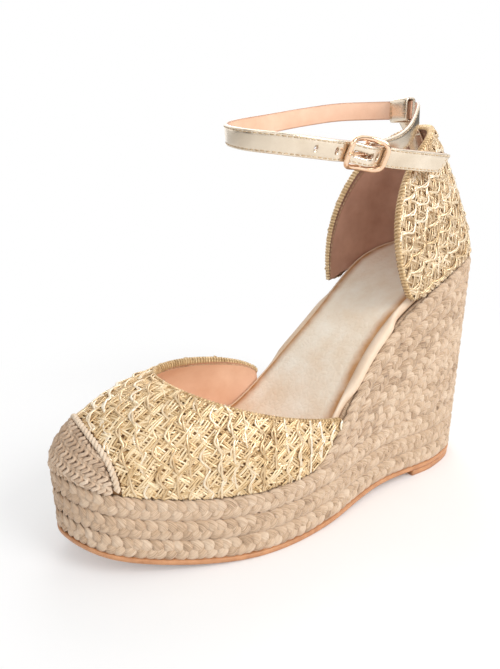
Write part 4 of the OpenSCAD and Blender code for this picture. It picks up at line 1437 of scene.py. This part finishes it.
EYE_START = 1.25         # from the bar's middle to the near end of a leather eye
EYE_END = 4.3
for part, low, high in (("upper", EYE_START, EYE_END), ("lower", -EYE_END, -EYE_START)):
    eye = bar_ring(f"buckle_strap_eye_{part}", low, high, 0.95, 1.93, GOLD_LEATHER)
    finish_piece(eye, "buckle_tab", "gold_leather")

TAB_PLACES = (0.03, -0.13)  # sides of the heel tab as places on the counter
LOOP_MIDDLE = np.array([-4, 2.15, 185.4])
LOOP_LENGTH = 12.0
LOOP_DEPTH = 2.75        # half the loop's outer depth, to the middle of its wall
LOOP_HEIGHT = 5.35


def heel_loop_ring():
    """Flat tunnel of folded leather with soft corners."""
    angle = np.linspace(0, 2 * math.pi, 72, endpoint=False)
    c, s = np.cos(angle), np.sin(angle)
    squeeze = (np.abs(c) ** 5 + np.abs(s) ** 5) ** (-1 / 5)
    half_wall = [(-6, 0.3), (-5.7, 0.48), (-3, 0.5), (3, 0.5), (5.7, 0.48), (6, 0.3)]
    corners = [(along, -out) for along, out in half_wall] + half_wall[::-1]
    sections = []
    for along, out in corners:
        bow = 0.25 * (1 - (along / 6) ** 2)
        sections.append(point(along * LOOP_LENGTH / 12, (LOOP_DEPTH + out + bow) * c * squeeze,
                              (LOOP_HEIGHT + out) * s * squeeze))
    return rib_loft("heel_loop_band", LOOP_MIDDLE + np.stack(sections, axis=1), GOLD_LEATHER, ring=True)


def heel_loop_stitches():
    """Rows of stitches up both ends of the loop, inside and outside."""
    strands = Strands()
    rise = np.linspace(-4.4, 4.4, 20)
    for along in (-4.7, 4.7):
        for face in (-1, 1):
            line = LOOP_MIDDLE + point(along, face * (LOOP_DEPTH + 0.52), rise)
            add_stitches(strands, line, np.tile([0, face, 0], (20, 1)), pitch=1.9)
    return strands.build("heel_loop_stitches", THREAD)


finish_piece(heel_loop_ring(), "ankle_loop", "gold_leather", "heel_loop")
finish_piece(heel_loop_stitches(), "ankle_loop", "gold_leather")
heel_tab = skin_sheet("heel_tab_leather", counter_skin, TAB_PLACES, (0.8, 0.97), (3.7, 4.7), GOLD_LEATHER,
                      (16, 12))
finish_piece(heel_tab, "shoe", "gold_leather", "heel_tab")


def heel_neck():
    """Strip that joins the tab to the back of the loop."""
    places = np.linspace(*TAB_PLACES, 12)
    levels = [np.full(12, level) for level in (0.9, 0.98)]
    low, top = (counter_surface(places, w) - 4.3 * counter_skin.normal(places, w) for w in levels)
    wide = np.linspace(LOOP_MIDDLE[0] + 5.4, LOOP_MIDDLE[0] - 5.4, 12)
    loop_back = LOOP_MIDDLE[1] + LOOP_DEPTH
    rows = np.stack([low, top, point(wide, loop_back + 1.4, 179.3), point(wide, loop_back + 0.2, 181.2),
                     point(wide, loop_back, 184.5)])
    path = np.stack([through(rows[:, i], np.linspace(0, 4, 28)) for i in range(12)], axis=1)
    half = 0.45 * point(0, 1, 0)
    sections = np.concatenate([path + half, (path - half)[:, ::-1]], axis=1)
    return rib_loft("heel_neck_leather", sections, GOLD_LEATHER)


finish_bending(heel_neck(), ("shoe", "ankle_loop"), (-4, 6, 176.5), (-4, 5, 181.5), "gold_leather")


# ---------------------------------------------------------------- buckle

FRAME_HALF_LENGTH = 10.0
FRAME_HALF_WIDTH = 6.5
FRAME_ARCH = 3.2
FRAME_SQUARENESS = 0.45  # 1 for an oval, 0 for a rectangle
FRAME_POINTS = 144
WIRE_SIZE = (1.2, 1.0)   # half width and half thickness
BAR_RADIUS = 0.85
PRONG_START = 1.0        # from the bar to the prong's root
PRONG_LENGTH = 10.4
PRONG_RISE = 5.35        # height of the prong's tip over the bar
PRONG_POINTS = 24


def buckle_frame():
    """Cast wire frame with arched ends and a straight bar across its middle."""
    angle = np.linspace(0, 2 * math.pi, FRAME_POINTS, endpoint=False)
    c, s = np.cos(angle), np.sin(angle)
    y = FRAME_HALF_LENGTH * np.abs(c) ** FRAME_SQUARENESS * np.sign(c)
    z = FRAME_HALF_WIDTH * np.abs(s) ** FRAME_SQUARENESS * np.sign(s)
    path = point(FRAME_ARCH * (y / FRAME_HALF_LENGTH) ** 2, y, z)
    closed = np.concatenate([path, path[:1]])
    distance = lengths(closed)
    path = resample(np.linspace(0, distance[-1], FRAME_POINTS, endpoint=False), distance, closed)
    metal = Strands()
    metal.add(at_bar(path), np.tile(bar_outward, (FRAME_POINTS, 1)), *WIRE_SIZE, sides=16, ring=True)
    ends = np.linspace(-FRAME_HALF_WIDTH, FRAME_HALF_WIDTH, 12)
    metal.add(at_bar(point(0, 0, ends)), np.tile(bar_outward, (12, 1)), BAR_RADIUS, BAR_RADIUS, sides=16)
    return metal.build("buckle_frame_cast", ROSE_GOLD)


def buckle_prong():
    """Tapered pin that reaches from the bar to the top of the frame's front end."""
    along = np.linspace(0, 1, PRONG_POINTS)
    rise = 1.3 * (1 - along) ** 2 + PRONG_RISE * along - 0.5 * np.sin(math.pi * along)
    path = point(rise, -PRONG_START - PRONG_LENGTH * along, 0)
    radius = mix(0.82, 0.62, along) * np.sqrt(np.clip((1 - along) * 22, 0.02, 1))
    metal = Strands()
    metal.add(at_bar(path), np.tile(bar_up, (PRONG_POINTS, 1)), radius, radius, sides=14)
    return metal.build("buckle_prong_pin", ROSE_GOLD)


finish_piece(buckle_frame(), "buckle", "rose_gold", "buckle_frame")
finish_piece(buckle_prong(), "prong", "rose_gold", "buckle_prong")
finish_piece(bar_ring("buckle_prong_curl", -0.8, 0.8, 0.9, 1.6, ROSE_GOLD), "prong", "rose_gold")


# ---------------------------------------------------------------- stitches on the linings

LINING_STITCH_LEVEL = 0.955  # place between the sole, 0, and the topline, 1
LINING_STITCH_DEPTH = 3.28

edge_stitches = Strands()
for skin, places in ((vamp_skin, vamp_edge), (counter_skin, counter_places)):
    levels = np.full(len(places), LINING_STITCH_LEVEL)
    normals = skin.normal(places, levels)
    line = skin.surface(places, levels) - LINING_STITCH_DEPTH * normals
    add_stitches(edge_stitches, line, -normals, pitch=2.6)
finish_piece(edge_stitches.build("lining_edge_stitches", THREAD), "shoe", "pink_lining")


# ---------------------------------------------------------------- stage

for node, material in NODE_MATERIALS.items():
    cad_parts[node].data.materials.clear()
    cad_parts[node].data.materials.append(material)


FLOOR_REACH = 4000.0     # millimetres from the middle of the floor to its sides
LIGHT_TARGET = (0, -0.08, 0.08)


def area_light(name, place, size, power):
    """Round light that looks at the shoe; places are in metres."""
    light = bpy.data.lights.new(name, "AREA")
    light.shape = "DISK"
    light.size = size
    light.energy = power
    holder = bpy.data.objects.new(name, light)
    holder.location = place
    holder.rotation_euler = (Vector(LIGHT_TARGET) - Vector(place)).to_track_quat("-Z", "Y").to_euler()
    bpy.context.scene.collection.objects.link(holder)


def build_world():
    """White to the camera, soft light from the heel side, and light and dark panels for gold to mirror."""
    n = Nodes(bpy.data.worlds.new("soft_white"))
    direction = n.add("ShaderNodeTexCoord").outputs["Generated"]
    towards_light = {"0": direction, "1": (0.7, 0.5, 0.5)}
    facing = n.add("ShaderNodeVectorMath", {"operation": "DOT_PRODUCT"}, **towards_light)
    soft = n.add("ShaderNodeMapRange", Value=facing.outputs["Value"], From_Min=-0.8, To_Min=0.2, To_Max=0.95)
    blotches = n.noise(direction, scale=2.1, detail=0.0)
    panels = n.add("ShaderNodeMapRange", Value=blotches, From_Min=0.4, From_Max=0.6, To_Min=0.1, To_Max=1.3)
    rays = n.add("ShaderNodeLightPath").outputs
    strength = n.choose(rays["Is Glossy Ray"], soft.outputs["Result"], panels.outputs["Result"])
    strength = n.choose(rays["Is Camera Ray"], strength, 1.0)
    bpy.context.scene.world = n.finish(Color=(1, 1, 1), Strength=strength)


def build_stage():
    n = Nodes(bpy.data.materials.new("floor"))
    n.finish(Base_Color=(0.93, 0.93, 0.93), Roughness=0.9, Specular_IOR_Level=0.1)
    distance = n.add("ShaderNodeVectorMath", {"operation": "LENGTH"}, **{"0": n.place()}).outputs["Value"]
    far = n.ramp(distance, [(0.1, (0, 0, 0)), (0.34, (1, 1, 1))])
    seen = n.times(far, n.add("ShaderNodeLightPath").outputs["Is Camera Ray"])
    glow = n.add("ShaderNodeEmission", Color=(1.0, 1.0, 1.0)).outputs["Emission"]
    mixer = n.add("ShaderNodeMixShader", Fac=seen, **{"1": n.surface.outputs["BSDF"], "2": glow})
    n.tree.links.new(mixer.outputs["Shader"], n.tree.nodes["Material Output"].inputs["Surface"])
    corners = [(x * FLOOR_REACH, y * FLOOR_REACH, 0) for x, y in ((-1, -1), (1, -1), (1, 1), (-1, 1))]
    floor = build_mesh("floor", corners, [(0, 1, 2, 3)], n.owner, smooth_faces=False)
    build_world()
    area_light("key", (0.95, 0.25, 0.75), size=0.6, power=8)
    area_light("fill", (0.45, -0.9, 0.7), size=0.9, power=1.3)
    area_light("back", (-0.7, 0.3, 0.8), size=0.8, power=3)


SENSOR_WIDTH = 36.0
FOCAL_LENGTH = 44.58
CAMERA_PLACE = (0.2409, -0.2446, 0.1679)
CAMERA_AZIMUTH = math.radians(58.53)
CAMERA_ELEVATION = math.radians(16.46)
CAMERA_ROLL = math.radians(-2.09)


def build_camera():
    data = bpy.data.cameras.new("camera")
    data.sensor_fit = "HORIZONTAL"
    data.sensor_width = SENSOR_WIDTH
    data.lens = FOCAL_LENGTH
    data.clip_start = 0.01
    camera = bpy.data.objects.new("camera", data)
    az, el = CAMERA_AZIMUTH, CAMERA_ELEVATION
    back = Vector((math.sin(az) * math.cos(el), -math.cos(az) * math.cos(el), math.sin(el)))
    right = Vector((math.cos(az), math.sin(az), 0))
    up = back.cross(right)
    c, s = math.cos(CAMERA_ROLL), math.sin(CAMERA_ROLL)
    turned_right, turned_up = c * right + s * up, c * up - s * right
    rotation = Matrix((turned_right, turned_up, back)).transposed().to_4x4()
    camera.matrix_world = Matrix.Translation(CAMERA_PLACE) @ rotation
    bpy.context.scene.collection.objects.link(camera)
    bpy.context.scene.camera = camera


build_stage()
build_camera()
bpy.context.scene.view_settings.view_transform = "Standard"
